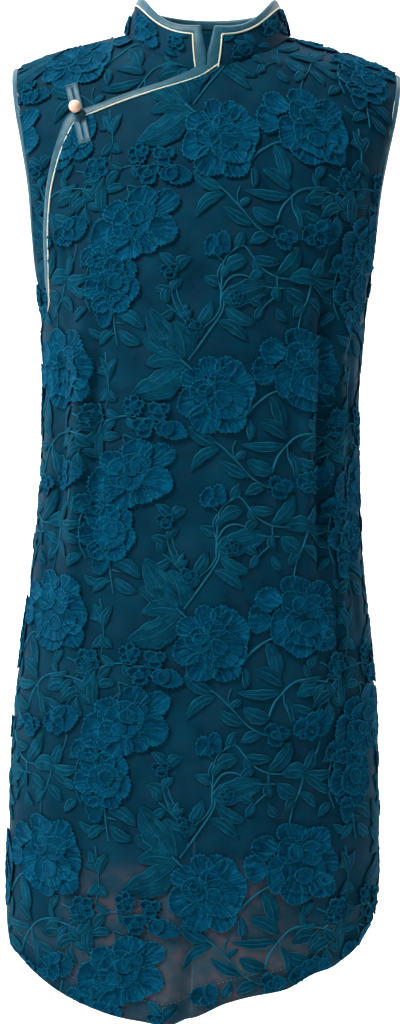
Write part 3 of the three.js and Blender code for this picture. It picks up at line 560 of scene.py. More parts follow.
# =====================================================================================
# Materials
# =====================================================================================
def material(name):
    mat = bpy.data.materials.new(name)
    mat.use_nodes = True
    nodes, links = mat.node_tree.nodes, mat.node_tree.links
    nodes.clear()
    out = nodes.new("ShaderNodeOutputMaterial")
    shader = nodes.new("ShaderNodeBsdfPrincipled")
    links.new(shader.outputs[0], out.inputs[0])
    return mat, nodes, links, shader


def node(nodes, kind, inputs=None, **props):
    n = nodes.new(kind)
    for k, v in props.items():
        setattr(n, k, v)
    for k, v in (inputs or {}).items():
        n.inputs[k].default_value = v
    return n


def ramp(nodes, stops):
    n = nodes.new("ShaderNodeValToRGB")
    while len(n.color_ramp.elements) > 1:
        n.color_ramp.elements.remove(n.color_ramp.elements[-1])
    n.color_ramp.elements[0].position, n.color_ramp.elements[0].color = stops[0][0], (*stops[0][1], 1)
    for pos, col in stops[1:]:
        e = n.color_ramp.elements.new(pos)
        e.color = (*col, 1)
    return n


def srgb(r, g, b):
    return tuple(((c / 255) / 12.92 if c / 255 <= 0.04045 else ((c / 255 + 0.055) / 1.055) ** 2.4) for c in (r, g, b))


def mapped(nodes, links, source, scale, rotation=(0, 0, 0)):
    coord = nodes.new("ShaderNodeTexCoord")
    m = node(nodes, "ShaderNodeMapping", {"Scale": scale, "Rotation": rotation})
    links.new(coord.outputs[source], m.inputs["Vector"])
    return m


def blend_colour(nodes, links, a, b, factor, mode="MIX"):
    m = nodes.new("ShaderNodeMix")
    m.data_type, m.blend_type = "RGBA", mode
    for socket, value in ((m.inputs[6], a), (m.inputs[7], b), (m.inputs[0], factor)):
        if hasattr(value, "is_output") or isinstance(value, bpy.types.NodeSocket):
            links.new(value, socket)
        elif socket == m.inputs[0]:
            socket.default_value = value
        else:
            socket.default_value = (*value, 1)
    return m.outputs[2]


def maths(nodes, links, op, a, b=None, clamp=False):
    m = nodes.new("ShaderNodeMath")
    m.operation, m.use_clamp = op, clamp
    for socket, value in zip(m.inputs, (a, b)):
        if value is None:
            continue
        if isinstance(value, bpy.types.NodeSocket):
            links.new(value, socket)
        else:
            socket.default_value = value
    return m.outputs[0]


def organza_material():
    """Dark sheer organza: a fine weave with long slubs. Below the lining's hem nothing backs it,
    and a greyer, browner tone of painted see-through light is laid there; a pale line of painted light runs down the
    skirt's middle."""
    mat, nodes, links, shader = material("organza_ground")
    fine = mapped(nodes, links, "UV", (1, 1, 1))
    weft = node(nodes, "ShaderNodeTexWave", {"Scale": 0.16, "Distortion": 1.2, "Detail": 2.0, "Detail Scale": 1.5}, bands_direction="Y")
    cloud = node(nodes, "ShaderNodeTexNoise", {"Scale": 0.03, "Detail": 4.0, "Roughness": 0.6})
    tint = node(nodes, "ShaderNodeTexNoise", {"Scale": 0.045, "Detail": 3.0, "Roughness": 0.55})
    slub = node(nodes, "ShaderNodeTexNoise", {"Scale": 0.42, "Detail": 3.0, "Roughness": 0.65})
    stretch = mapped(nodes, links, "UV", (1.0, 0.05, 1.0))
    moved = node(nodes, "ShaderNodeMapping", {"Location": (170.0, 60.0, 0.0)})
    links.new(fine.outputs[0], moved.inputs["Vector"])
    for t in (weft, cloud):
        links.new(fine.outputs[0], t.inputs["Vector"])
    links.new(moved.outputs[0], tint.inputs["Vector"])
    links.new(stretch.outputs[0], slub.inputs["Vector"])
    base = ramp(nodes, [(0.3, srgb(0, 33, 51)), (0.52, srgb(0, 45, 64)), (0.75, srgb(2, 56, 76))])
    links.new(cloud.outputs[0], base.inputs[0])
    warm = ramp(nodes, [(0.48, (0, 0, 0)), (0.68, (1, 1, 1))])
    links.new(tint.outputs[0], warm.inputs[0])
    tinted = blend_colour(nodes, links, base.outputs[0], srgb(26, 48, 68), maths(nodes, links, "MULTIPLY", warm.outputs[0], 0.35))
    # the height on the cloth decides how much lining is behind it
    coord = nodes.new("ShaderNodeTexCoord")
    height = nodes.new("ShaderNodeSeparateXYZ")
    links.new(coord.outputs["Object"], height.inputs[0])
    wander = maths(nodes, links, "MULTIPLY", maths(nodes, links, "ADD", cloud.outputs[0], maths(nodes, links, "MULTIPLY", tint.outputs[0], 1.0)), 0.03)
    depth = maths(nodes, links, "ADD", height.outputs[2], wander)
    unlined = maths(nodes, links, "MULTIPLY", maths(nodes, links, "ADD", depth, -LINING_HEM / 1000 - 0.032), -55.0, clamp=True)
    # painted light: the greyer, browner tone of light seen through the unbacked sheer cloth below the lining's hem
    painted_show_through = ramp(nodes, [(0.36, srgb(22, 54, 70)), (0.5, srgb(40, 58, 70)), (0.64, srgb(66, 62, 72))])
    links.new(tint.outputs[0], painted_show_through.inputs[0])
    # the painted see-through light is kept to the middle: towards the side seams the two layers lie close together, and
    # the cloth looks solid again
    apart = maths(nodes, links, "ABSOLUTE", height.outputs[0])
    near_middle = maths(nodes, links, "MULTIPLY", maths(nodes, links, "ADD", apart, -0.135), -16.0, clamp=True)
    zoned = blend_colour(nodes, links, tinted, painted_show_through.outputs[0], maths(nodes, links, "MULTIPLY", unlined, near_middle))
    lines = blend_colour(nodes, links, zoned, srgb(18, 70, 90), maths(nodes, links, "MULTIPLY", slub.outputs[0], 0.2))
    # painted light: a pale line of light painted along the fold pressed down the middle of the skirt
    off_line = maths(nodes, links, "ABSOLUTE", maths(nodes, links, "ADD", height.outputs[0], maths(nodes, links, "ADD", maths(nodes, links, "MULTIPLY", cloud.outputs[0], 0.005), -0.0037)))
    on_line = maths(nodes, links, "MULTIPLY", maths(nodes, links, "ADD", off_line, -0.0013), -1400.0, clamp=True)
    below = maths(nodes, links, "MULTIPLY", maths(nodes, links, "ADD", height.outputs[2], 0.735), -14.0, clamp=True)
    above_hem = maths(nodes, links, "MULTIPLY", maths(nodes, links, "ADD", height.outputs[2], 0.925), 60.0, clamp=True)
    share = maths(nodes, links, "MULTIPLY", maths(nodes, links, "MULTIPLY", on_line, below), maths(nodes, links, "MULTIPLY", above_hem, maths(nodes, links, "MULTIPLY", slub.outputs[0], 0.8)))
    painted_light_line = blend_colour(nodes, links, lines, srgb(60, 98, 112), share)
    links.new(painted_light_line, shader.inputs["Base Color"])
    shader.inputs["Roughness"].default_value = 0.66
    shader.inputs["Specular IOR Level"].default_value = 0.03
    shader.inputs["Sheen Weight"].default_value = 0.015
    shader.inputs["Sheen Roughness"].default_value = 0.4
    shader.inputs["Sheen Tint"].default_value = (*srgb(60, 120, 145), 1)
    bump_in = maths(nodes, links, "ADD", maths(nodes, links, "MULTIPLY", weft.outputs[1], 0.35), slub.outputs[0])
    bump = node(nodes, "ShaderNodeBump", {"Strength": 0.12, "Distance": 0.0004})
    links.new(bump_in, bump.inputs["Height"])
    links.new(bump.outputs[0], shader.inputs["Normal"])
    shader.inputs["Alpha"].default_value = 0.93
    return mat


def jacquard_material(name, deep, mid, light, line, line_share, comb_share):
    """The raised motifs: short velvety floats that run along each petal, with a lighter edge thread."""
    mat, nodes, links, shader = material(name)
    attr = node(nodes, "ShaderNodeAttribute", attribute_name="Tone")
    split = nodes.new("ShaderNodeSeparateColor")
    links.new(attr.outputs["Color"], split.inputs[0])
    streaks = node(nodes, "ShaderNodeTexNoise", {"Scale": 0.9, "Detail": 4.0, "Roughness": 0.8})
    along = mapped(nodes, links, "UV", (1.5, 0.32, 1.0))
    links.new(along.outputs[0], streaks.inputs["Vector"])
    coord = nodes.new("ShaderNodeTexCoord")
    fuzz = node(nodes, "ShaderNodeTexNoise", {"Scale": 700.0, "Detail": 2.0, "Roughness": 0.7})
    links.new(coord.outputs["Object"], fuzz.inputs["Vector"])
    mottle = node(nodes, "ShaderNodeTexNoise", {"Scale": 95.0, "Detail": 4.0, "Roughness": 0.75})
    links.new(coord.outputs["Object"], mottle.inputs["Vector"])
    mixed = maths(nodes, links, "ADD", maths(nodes, links, "MULTIPLY", streaks.outputs[0], 0.5), maths(nodes, links, "MULTIPLY", mottle.outputs[0], 0.5))
    tone = ramp(nodes, [(0.38, deep), (0.5, mid), (0.63, light)])
    links.new(mixed, tone.inputs[0])
    # comb lines: short threads that cross the petal from its edge toward the heart
    comb = node(nodes, "ShaderNodeTexNoise", {"Scale": 1.0, "Detail": 2.0, "Roughness": 0.6})
    teeth = mapped(nodes, links, "UV", (1.15, 0.05, 1.0))
    links.new(teeth.outputs[0], comb.inputs["Vector"])
    line_gate = ramp(nodes, [(0.5, (0, 0, 0)), (0.64, (1, 1, 1))])
    links.new(comb.outputs[0], line_gate.inputs[0])
    varied = blend_colour(nodes, links, tone.outputs[0], tuple(c * 0.45 for c in deep), maths(nodes, links, "MULTIPLY", split.outputs[1], 0.42))
    ringed = blend_colour(nodes, links, varied, line, maths(nodes, links, "MULTIPLY", line_gate.outputs[0], comb_share))
    edge = ramp(nodes, [(0.66, (0, 0, 0)), (0.94, (1, 1, 1))])
    links.new(split.outputs[0], edge.inputs[0])
    broken = ramp(nodes, [(0.38, (0.35, 0.35, 0.35)), (0.6, (1, 1, 1))])
    links.new(comb.outputs[0], broken.inputs[0])
    amount = maths(nodes, links, "MULTIPLY", maths(nodes, links, "MULTIPLY", edge.outputs[0], line_share), broken.outputs[0])
    edged = blend_colour(nodes, links, ringed, line, amount)
    links.new(edged, shader.inputs["Base Color"])
    shader.inputs["Roughness"].default_value = 0.85
    shader.inputs["Specular IOR Level"].default_value = 0.025
    shader.inputs["Sheen Weight"].default_value = 0.03
    shader.inputs["Sheen Roughness"].default_value = 0.35
    shader.inputs["Sheen Tint"].default_value = (*srgb(10, 120, 160), 1)
    height = maths(nodes, links, "ADD", maths(nodes, links, "ADD", maths(nodes, links, "MULTIPLY", streaks.outputs[0], 0.6), maths(nodes, links, "MULTIPLY", fuzz.outputs[0], 0.4)), comb.outputs[0])
    bump = node(nodes, "ShaderNodeBump", {"Strength": 0.8, "Distance": 0.0011})
    links.new(height, bump.inputs["Height"])
    links.new(bump.outputs[0], shader.inputs["Normal"])
    return mat


def satin_material():
    mat, nodes, links, shader = material("satin_binding")
    place = mapped(nodes, links, "UV", (1, 1, 1))
    cloud = node(nodes, "ShaderNodeTexNoise", {"Scale": 0.12, "Detail": 3.0, "Roughness": 0.55})
    links.new(place.outputs[0], cloud.inputs["Vector"])
    twill = node(nodes, "ShaderNodeTexWave", {"Scale": 0.9, "Distortion": 0.5, "Detail": 1.0}, bands_direction="DIAGONAL")
    links.new(place.outputs[0], twill.inputs["Vector"])
    base = ramp(nodes, [(0.3, srgb(18, 64, 80)), (0.55, srgb(26, 79, 96)), (0.8, srgb(40, 94, 111))])
    links.new(cloud.outputs[0], base.inputs[0])
    links.new(base.outputs[0], shader.inputs["Base Color"])
    shader.inputs["Roughness"].default_value = 0.42
    shader.inputs["Specular IOR Level"].default_value = 0.24
    shader.inputs["Sheen Weight"].default_value = 0.05
    shader.inputs["Sheen Roughness"].default_value = 0.3
    shader.inputs["Sheen Tint"].default_value = (*srgb(130, 180, 195), 1)
    bump = node(nodes, "ShaderNodeBump", {"Strength": 0.18, "Distance": 0.0002})
    links.new(twill.outputs[1], bump.inputs["Height"])
    links.new(bump.outputs[0], shader.inputs["Normal"])
    return mat


def cord_material():
    mat, nodes, links, shader = material("pale_cord")
    place = mapped(nodes, links, "UV", (1, 1, 1))
    twist = node(nodes, "ShaderNodeTexWave", {"Scale": 0.35, "Distortion": 0.4}, bands_direction="DIAGONAL")
    links.new(place.outputs[0], twist.inputs["Vector"])
    base = ramp(nodes, [(0.1, srgb(186, 190, 160)), (0.6, srgb(228, 232, 210)), (1.0, srgb(240, 243, 228))])
    links.new(twist.outputs[1], base.inputs[0])
    links.new(base.outputs[0], shader.inputs["Base Color"])
    shader.inputs["Roughness"].default_value = 0.6
    bump = node(nodes, "ShaderNodeBump", {"Strength": 0.5, "Distance": 0.0003})
    links.new(twist.outputs[1], bump.inputs["Height"])
    links.new(bump.outputs[0], shader.inputs["Normal"])
    return mat


def lining_material():
    mat, nodes, links, shader = material("plain_lining")
    place = mapped(nodes, links, "UV", (1, 1, 1))
    weave = node(nodes, "ShaderNodeTexWave", {"Scale": 0.7, "Distortion": 0.5, "Detail": 1.0}, bands_direction="Y")
    links.new(place.outputs[0], weave.inputs["Vector"])
    cloud = node(nodes, "ShaderNodeTexNoise", {"Scale": 0.02, "Detail": 3.0})
    links.new(place.outputs[0], cloud.inputs["Vector"])
    base = ramp(nodes, [(0.3, srgb(3, 26, 38)), (0.7, srgb(7, 36, 50))])
    links.new(cloud.outputs[0], base.inputs[0])
    links.new(base.outputs[0], shader.inputs["Base Color"])
    shader.inputs["Roughness"].default_value = 0.7
    shader.inputs["Specular IOR Level"].default_value = 0.12
    shader.inputs["Sheen Weight"].default_value = 0.03
    bump = node(nodes, "ShaderNodeBump", {"Strength": 0.15, "Distance": 0.0002})
    links.new(weave.outputs[1], bump.inputs["Height"])
    links.new(bump.outputs[0], shader.inputs["Normal"])
    return mat


def bead_material():
    mat, nodes, links, shader = material("pearl_bead")
    coord = nodes.new("ShaderNodeTexCoord")
    cloud = node(nodes, "ShaderNodeTexNoise", {"Scale": 130.0, "Detail": 2.0})
    links.new(coord.outputs["Object"], cloud.inputs["Vector"])
    base = ramp(nodes, [(0.3, srgb(236, 170, 140)), (0.6, srgb(247, 200, 170)), (0.85, srgb(252, 222, 200))])
    links.new(cloud.outputs[0], base.inputs[0])
    links.new(base.outputs[0], shader.inputs["Base Color"])
    shader.inputs["Roughness"].default_value = 0.26
    shader.inputs["Coat Weight"].default_value = 0.5
    shader.inputs["Coat Roughness"].default_value = 0.12
    shader.inputs["Sheen Weight"].default_value = 0.2
    return mat


def thread_material():
    mat, nodes, links, shader = material("sewing_thread")
    coord = nodes.new("ShaderNodeTexCoord")
    cloud = node(nodes, "ShaderNodeTexNoise", {"Scale": 900.0, "Detail": 2.0})
    links.new(coord.outputs["Object"], cloud.inputs["Vector"])
    base = ramp(nodes, [(0.3, srgb(24, 76, 92)), (0.7, srgb(52, 108, 124))])
    links.new(cloud.outputs[0], base.inputs[0])
    links.new(base.outputs[0], shader.inputs["Base Color"])
    shader.inputs["Roughness"].default_value = 0.6
    bump = node(nodes, "ShaderNodeBump", {"Strength": 0.4, "Distance": 0.0002})
    links.new(cloud.outputs[0], bump.inputs["Height"])
    links.new(bump.outputs[0], shader.inputs["Normal"])
    return mat


THREAD = thread_material()
ORGANZA = organza_material()
FLOWER = jacquard_material("jacquard_flower", srgb(0, 38, 60), srgb(0, 58, 85), srgb(0, 78, 108), srgb(16, 108, 138), 0.55, 0.34)
LEAF = jacquard_material("jacquard_leaf", srgb(0, 37, 55), srgb(0, 55, 76), srgb(2, 72, 95), srgb(34, 116, 142), 0.95, 0.26)
SATIN = satin_material()
CORD = cord_material()
LINING = lining_material()
BEAD = bead_material()


def dress(obj, mat, slot, *nodes):
    obj.data.materials.append(mat)
    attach(obj, "root")
    if nodes:
        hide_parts(*nodes)
    return obj


# =====================================================================================
# The panels
# =====================================================================================
FRONT_GRID = panel_uv(-1, FRONT_TOP, FRONT_SIDE, side_uv(-1, 1), 118, 60, 112)
BACK_GRID = panel_uv(1, BACK_TOP, side_uv(1, -1), side_uv(1, 1), 118, 60, 112)
CLOTH = 0.7


BAND_NAMES = ("yoke", "bust", "waist", "hip", "skirt")
FRONT_NODES = ["front_" + b for b in BAND_NAMES]
BACK_NODES = ["back_" + b for b in BAND_NAMES]


def make_panel(name, side, grid, top, wall, mat, slot, *nodes, clear=True):
    p, n = on_cloth(side, grid[..., 0], grid[..., 1])
    seam = smooth(3.0, 0.0, np.abs(p[..., 1]))[..., None]
    flat = n.copy()
    flat[..., 1] = 0
    n = n * (1 - seam) + flat * seam
    n /= np.linalg.norm(n, axis=-1, keepdims=True)
    verts, quads = shell(p, n, top, wall)
    uv = np.concatenate([grid.reshape(-1, 2)] * 2)
    return dress(new_mesh(name, verts, quads, uv=uv), mat, slot, *nodes)


front_cloth = make_panel("front_cloth", -1, FRONT_GRID, 0.0, CLOTH, ORGANZA, "jacquard", *FRONT_NODES)
back_cloth = make_panel("back_cloth", 1, BACK_GRID, 0.0, CLOTH, ORGANZA, "jacquard", *BACK_NODES)

LINING_FRONT_GRID = panel_uv(-1, FRONT_TOP, FRONT_SIDE, side_uv(-1, 1), 72, 44, 70, LINING_HEM)
LINING_BACK_GRID = panel_uv(1, BACK_TOP, side_uv(1, -1), side_uv(1, 1), 72, 44, 70, LINING_HEM)
front_lining = make_panel("front_lining_cloth", -1, LINING_FRONT_GRID, -1.8, 0.6, LINING, "lining", "front_lining")
back_lining = make_panel("back_lining_cloth", 1, LINING_BACK_GRID, -1.8, 0.6, LINING, "lining", "back_lining")

# ---- the under front ----
TUCK = 11.0


def edge_polyline():
    along = np.linspace(0, OPENING_END, 200)
    line = opening_uv("edge", along)
    return along, line


EDGE_ALONG, EDGE_LINE = edge_polyline()


def tuck_line(along):
    seam = opening_uv("seam", along)
    d = np.gradient(seam, axis=0)
    d /= np.maximum(np.linalg.norm(d, axis=1, keepdims=True), 1e-9)
    inward = np.stack([d[:, 1], -d[:, 0]], 1)
    probe = seam + inward * 3
    if ((probe[len(probe) // 3] - EDGE_LINE[len(EDGE_LINE) // 3]) * [0, 1]).sum() < 0:
        inward = -inward
    fade = smooth(OPENING_END, OPENING_END - 1.5, along)[:, None]
    return seam + inward * TUCK * fade


def pressed(uv):
    """How far the under front is pressed in, from its distance to the crossing edge."""
    flat = uv.reshape(-1, 2)
    d = np.linalg.norm(flat[:, None] - EDGE_LINE[None, ::2], axis=2)
    k = d.argmin(1)
    near = d[np.arange(len(flat)), k]
    run = np.gradient(EDGE_LINE[::2], axis=0)[k]
    off = flat - EDGE_LINE[::2][k]
    inside = run[:, 0] * off[:, 1] - run[:, 1] * off[:, 0] < 0
    drop = -3.6 * np.where(inside, 1.0, smooth(24, 3, near))
    return drop.reshape(uv.shape[:-1])


UNDER_RIGHT = np.concatenate([
    neck_uv(-90, -8, 30),
    tuck_line(np.linspace(0.6, OPENING_END, 120)),
])
UNDER_ARM = side_uv(-1, -1)
UNDER_TOP = shoulder_uv(-1, -1, 40)[::-1]
UNDER_FOOT = np.stack([UNDER_ARM[-1], UNDER_RIGHT[-1] + [1.5, 0]])
UNDER_GRID = coons(resample(UNDER_TOP, 44), resample(UNDER_FOOT, 44), resample(UNDER_ARM, 90),
                   resample(np.concatenate([UNDER_RIGHT[:-1], UNDER_FOOT[-1:]]), 90))


def make_under(name, lift, wall, mat, slot, nodename):
    p, n = on_cloth(-1, UNDER_GRID[..., 0], UNDER_GRID[..., 1])
    verts, quads = shell(p, n, pressed(UNDER_GRID) + lift, wall)
    return dress(new_mesh(name, verts, quads, uv=np.concatenate([UNDER_GRID.reshape(-1, 2)] * 2)), mat, slot, nodename)


under_cloth = make_under("under_front_cloth", 0.0, CLOTH, ORGANZA, "jacquard", "under_front")
under_lining = make_under("under_front_lining_cloth", -1.5, 0.6, LINING, "lining", "under_front_lining")

# ---- the turned-up hems, a second layer inside the cloth ----
HEM_TURN_UP = 21.0


def make_hem(name, side):
    foot = resample(hem_uv(side, 361), 150)
    d = np.gradient(foot, axis=0)
    d /= np.linalg.norm(d, axis=1, keepdims=True)
    up = np.stack([d[:, 1], -d[:, 0]], 1)
    if up[75, 1] > 0:
        up = -up
    ends = np.minimum(np.arange(150), np.arange(150)[::-1])
    up[:, 0] *= smooth(0, 6, ends)
    up[:, 1] = np.where(ends < 6, -1, up[:, 1])
    rows = np.linspace(0, HEM_TURN_UP, 8)
    grid = foot[None] + up[None] * rows[:, None, None]
    p, n = on_cloth(side, grid[..., 0], grid[..., 1])
    verts, quads = shell(p, n, -CLOTH - 0.15, 0.5)
    return dress(new_mesh(name, verts, quads, uv=np.concatenate([grid.reshape(-1, 2)] * 2)), ORGANZA, "jacquard")


front_hem = make_hem("front_hem_turn", -1)
back_hem = make_hem("back_hem_turn", 1)


def make_hem_stitches(name, side):
    """The running stitch that shows where the turned-up hem is caught."""
    foot = resample(hem_uv(side, 361), 600)[20:-20]
    d = np.gradient(foot, axis=0)
    d /= np.linalg.norm(d, axis=1, keepdims=True)
    up = np.stack([d[:, 1], -d[:, 0]], 1)
    if up[len(up) // 2, 1] > 0:
        up = -up
    line = foot + up * (HEM_TURN_UP - 1.5)
    run = np.concatenate([[0], np.cumsum(np.linalg.norm(np.diff(line, axis=0), axis=1))])
    batch = Batch()
    start = 1.0
    while start + 3.0 < run[-1]:
        at = np.linspace(start, start + 2.4, 4)
        uv = np.stack([np.interp(at, run, line[:, k]) for k in range(2)], -1)
        p, n = on_cloth(side, uv[:, 0], uv[:, 1])
        t = np.gradient(p, axis=0)
        t /= np.linalg.norm(t, axis=1, keepdims=True)
        across = np.cross(t, n)
        v, q, tr = tube(p + n * 0.15, across, n, 0.7, 0.6, 6, taper=[0.6, 1, 1, 0.6])
        batch.add(v, q, tr)
        start += 3.9
    return dress(batch.make(name), THREAD, "jacquard")


front_stitches = make_hem_stitches("front_hem_stitches", -1)
back_stitches = make_hem_stitches("back_hem_stitches", 1)

# =====================================================================================
# The collar
# =====================================================================================
def collar_point(round_, up):
    """Place and outward direction on the collar: round_ in degrees from the centre front."""
    round_ = np.asarray(round_, float)
    up = np.asarray(up, float)
    r = ((round_ + 180) % 360) - 180
    table_r = np.linspace(-180, 180, 361)
    foot = np.interp  # the neckline's places, at whole degrees
    low = np.stack([np.interp(r, table_r, NECK_RING[:, k]) for k in range(3)], -1)
    plan = low * [1, 1, 0]
    low = low - plan / np.linalg.norm(plan, axis=-1, keepdims=True) * 0.5 + [0, 0, 0.5]
    rr = np.radians(r)
    front = np.abs(r) <= 90
    lean = np.minimum(1, np.sin(np.radians(np.minimum(80, np.abs(r)) * 1.125)) ** 2) ** 1.8
    high = np.stack([TOP_HALF * np.sin(rr), -np.where(front, TOP_FRONT, TOP_BACK) * np.cos(rr), mix(TOP_FRONT_Z, TOP_SIDE_Z, lean)], -1)
    rise = high - low
    tangent = np.stack([np.cos(rr), np.sin(rr), 0 * rr], -1)
    n = np.cross(tangent, rise)
    n /= np.linalg.norm(n, axis=-1, keepdims=True)
    out = np.stack([np.sin(rr), -np.cos(rr), 0 * rr], -1)
    n *= np.sign((n * out).sum(-1, keepdims=True))
    p = low + rise * up[..., None] + n * (1.5 * np.sin(np.pi * up))[..., None]
    wobble = 0.35 * np.sin(rr * 5 + 1.0) * np.sin(np.pi * np.clip(up, 0, 1))
    return p + n * wobble[..., None], n


def ring_point(r):
    side, turn, level = neck_spot(r)
    u, v = to_uv(side, turn, level)
    p, _ = on_cloth(side, np.array(u), np.array(v))
    return p


NECK_RING = np.array([ring_point(min(max(r, -179.999), 179.999)) for r in np.linspace(-180, 180, 361)])
COLLAR_HEIGHT = 41.0
COLLAR_BINDING = 9.5
SEAM_UP = 1 - COLLAR_BINDING / COLLAR_HEIGHT


def collar_end(up):
    x = 0.12 + 6.5 * np.clip((np.asarray(up, float) - 0.27) / 0.73, 0, 1)
    return np.degrees(np.arcsin(x / TOP_FRONT))


COLLAR_IN = float(collar_end(SEAM_UP)) + math.degrees(COLLAR_BINDING / TOP_FRONT)


def collar_in(up):
    """Where the satin's seam stands at the collar's ends: it closes in toward the foot."""
    return COLLAR_IN * (0.70 + 0.30 * np.clip(np.asarray(up, float) / SEAM_UP, 0, 1) ** 0.8)


def make_collar():
    ups = np.linspace(-0.12, SEAM_UP, 18)
    share, u = np.meshgrid(np.linspace(0, 1, 200), ups)
    r = mix(collar_in(u), 360 - collar_in(u), share)
    p, n = collar_point(r, u)
    verts, quads = shell(p, n, 0.0, 1.4)
    run = r / 360 * 440
    uv = np.concatenate([np.stack([run, u * COLLAR_HEIGHT], -1).reshape(-1, 2)] * 2)
    return dress(new_mesh("collar_cloth", verts, quads, uv=uv), LINING_COLLAR, "jacquard", "collar")


def solid_organza():
    mat = ORGANZA.copy()
    mat.name = "organza_on_stiffening"
    for n in mat.node_tree.nodes:
        if n.type == "BSDF_PRINCIPLED":
            n.inputs["Alpha"].default_value = 1.0
    return mat


LINING_COLLAR = solid_organza()
collar_cloth = make_collar()


def collar_lines(count=220):
    """The seam and the finished edge of the collar's satin, matched point by point."""
    seam, edge = [], []
    for t in np.linspace(0, 1, 18):
        seam.append((float(collar_in(mix(-0.05, SEAM_UP * 0.985, t))), mix(-0.05, SEAM_UP * 0.985, t)))
        edge.append((float(collar_end(mix(-0.05, 0.93, t))), mix(-0.05, 0.93, t)))
    for t in np.linspace(0, 1, 7)[1:]:
        seam.append((COLLAR_IN + 0.5 * t, SEAM_UP))
        a = t * math.pi / 2
        edge.append((float(collar_end(0.93)) + 2.4 * (1 - math.cos(a)), mix(0.93, 1.0, math.sin(a))))
    ends = len(seam)
    for r in np.linspace(COLLAR_IN + 1.2, 360 - COLLAR_IN - 1.2, count):
        seam.append((r, SEAM_UP))
        edge.append((r, 1.0))
    mirrored = lambda pts: [(360 - r, u) for r, u in pts[:ends]][::-1]
    seam, edge = seam + mirrored(seam), edge + mirrored(edge)
    return np.array(seam), np.array(edge)


def strip(seam_p, edge_p, n, bulge, below, closed=False, steps=9):
    """A soft band between two lines: rounded on the outside, flat on the inside."""
    w = np.linspace(0, 1, steps)
    crown = bulge * (1 - np.abs(2 * w - 1) ** 3.0)
    outer = seam_p[:, None] * (1 - w)[None, :, None] + edge_p[:, None] * w[None, :, None] + n[:, None] * (crown + 0.15)[None, :, None]
    w2 = w[::-1][1:-1]
    crown2 = -below * (1 - np.abs(2 * w2 - 1) ** 4.0) - 0.1
    inner = seam_p[:, None] * (1 - w2)[None, :, None] + edge_p[:, None] * w2[None, :, None] + n[:, None] * crown2[None, :, None]
    ring = np.concatenate([outer, inner], axis=1)
    k, c = ring.shape[:2]
    idx = np.arange(k * c).reshape(k, c)
    nxt = np.roll(idx, -1, axis=1)
    run = np.concatenate([[0], np.cumsum(np.linalg.norm(np.diff(edge_p, axis=0), axis=1))])
    cross_run = np.concatenate([w, w2]) * 10
    uv = np.stack(np.broadcast_arrays(run[:, None], cross_run[None, :]), -1).reshape(-1, 2)
    if closed:
        quads = np.stack([idx.ravel(), nxt.ravel(), np.roll(nxt, -1, axis=0).ravel(), np.roll(idx, -1, axis=0).ravel()], 1)
        verts = ring.reshape(-1, 3)
        return verts, outward(verts, quads), None, uv
    quads = np.stack([idx[:-1].ravel(), nxt[:-1].ravel(), nxt[1:].ravel(), idx[1:].ravel()], 1)
    verts = np.concatenate([ring.reshape(-1, 3), ring[0].mean(0)[None], ring[-1].mean(0)[None]])
    uv = np.concatenate([uv, uv[:1], uv[-1:]])
    turned = outward(verts, quads)
    tris = np.concatenate([np.stack([np.full(c, k * c), nxt[0], idx[0]], 1), np.stack([np.full(c, k * c + 1), idx[-1], nxt[-1]], 1)])
    if not (turned[0] == quads[0]).all():
        tris = tris[:, ::-1]
    return verts, turned, tris, uv


def cord_along(path, n, radius, lift, closed=False, count=8):
    path = path + n * lift
    run = np.concatenate([[0], np.cumsum(np.linalg.norm(np.diff(path, axis=0), axis=1))])
    tangent = np.gradient(path, axis=0)
    tangent /= np.maximum(np.linalg.norm(tangent, axis=1, keepdims=True), 1e-9)
    across = np.cross(tangent, n)
    across /= np.maximum(np.linalg.norm(across, axis=1, keepdims=True), 1e-9)
    verts, quads, tris = tube(path, across, n, 2 * radius, 2 * radius, count, closed)
    uv = np.stack(np.broadcast_arrays(run[:, None], (np.arange(count) * 2.0)[None, :]), -1).reshape(-1, 2)
    if len(verts) > len(uv):
        uv = np.concatenate([uv, uv[:1], uv[-1:]])
    return verts, quads, tris, uv


seam_s, edge_s = collar_lines()
seam_p, seam_n = collar_point(seam_s[:, 0], seam_s[:, 1])
edge_p, edge_n = collar_point(edge_s[:, 0], edge_s[:, 1])
mid_n = seam_n + edge_n
mid_n /= np.linalg.norm(mid_n, axis=1, keepdims=True)
v_, q_, t_, uv_ = strip(seam_p, edge_p, mid_n, 0.9, 2.2)
collar_binding = dress(new_mesh("collar_satin", v_, q_, t_, uv_), SATIN, "satin", "collar_binding")
v_, q_, t_, uv_ = cord_along(resample(np.concatenate([seam_p], 0), 420), np.stack([np.interp(np.linspace(0, 1, 420), np.linspace(0, 1, len(seam_n)), seam_n[:, k]) for k in range(3)], -1), 0.75, 0.75)
collar_cord = dress(new_mesh("collar_cord", v_, q_, t_, uv_), CORD, "piping", "collar_piping")

# =====================================================================================
# The satin along the crossing edge and round the armholes
# =====================================================================================
along = np.concatenate([np.linspace(0, CORNER - 0.25, 70), np.linspace(CORNER - 0.15, CORNER + 0.15, 5), np.linspace(CORNER + 0.25, OPENING_END, 110)])
seam_uv, edge_uv = opening_uv("seam", along), opening_uv("edge", along)
seam_p, seam_n = on_cloth(-1, seam_uv[:, 0], seam_uv[:, 1])
edge_p, edge_n = on_cloth(-1, edge_uv[:, 0], edge_uv[:, 1])
mid_n = seam_n + edge_n
mid_n /= np.linalg.norm(mid_n, axis=1, keepdims=True)
ends = smooth(17.4, 15.4, along)[:, None]
edge_p = seam_p + (edge_p - seam_p) * (0.12 + 0.88 * ends)
seam_p, edge_p = seam_p - seam_n * 1.6 * (1 - ends), edge_p - edge_n * 1.6 * (1 - ends)
v_, q_, t_, uv_ = strip(seam_p, edge_p, mid_n, 0.9, 1.0)
opening_binding = dress(new_mesh("opening_satin", v_, q_, t_, uv_), SATIN, "satin", "opening_binding")
v_, q_, t_, uv_ = cord_along(seam_p, seam_n, 0.75, 0.75)
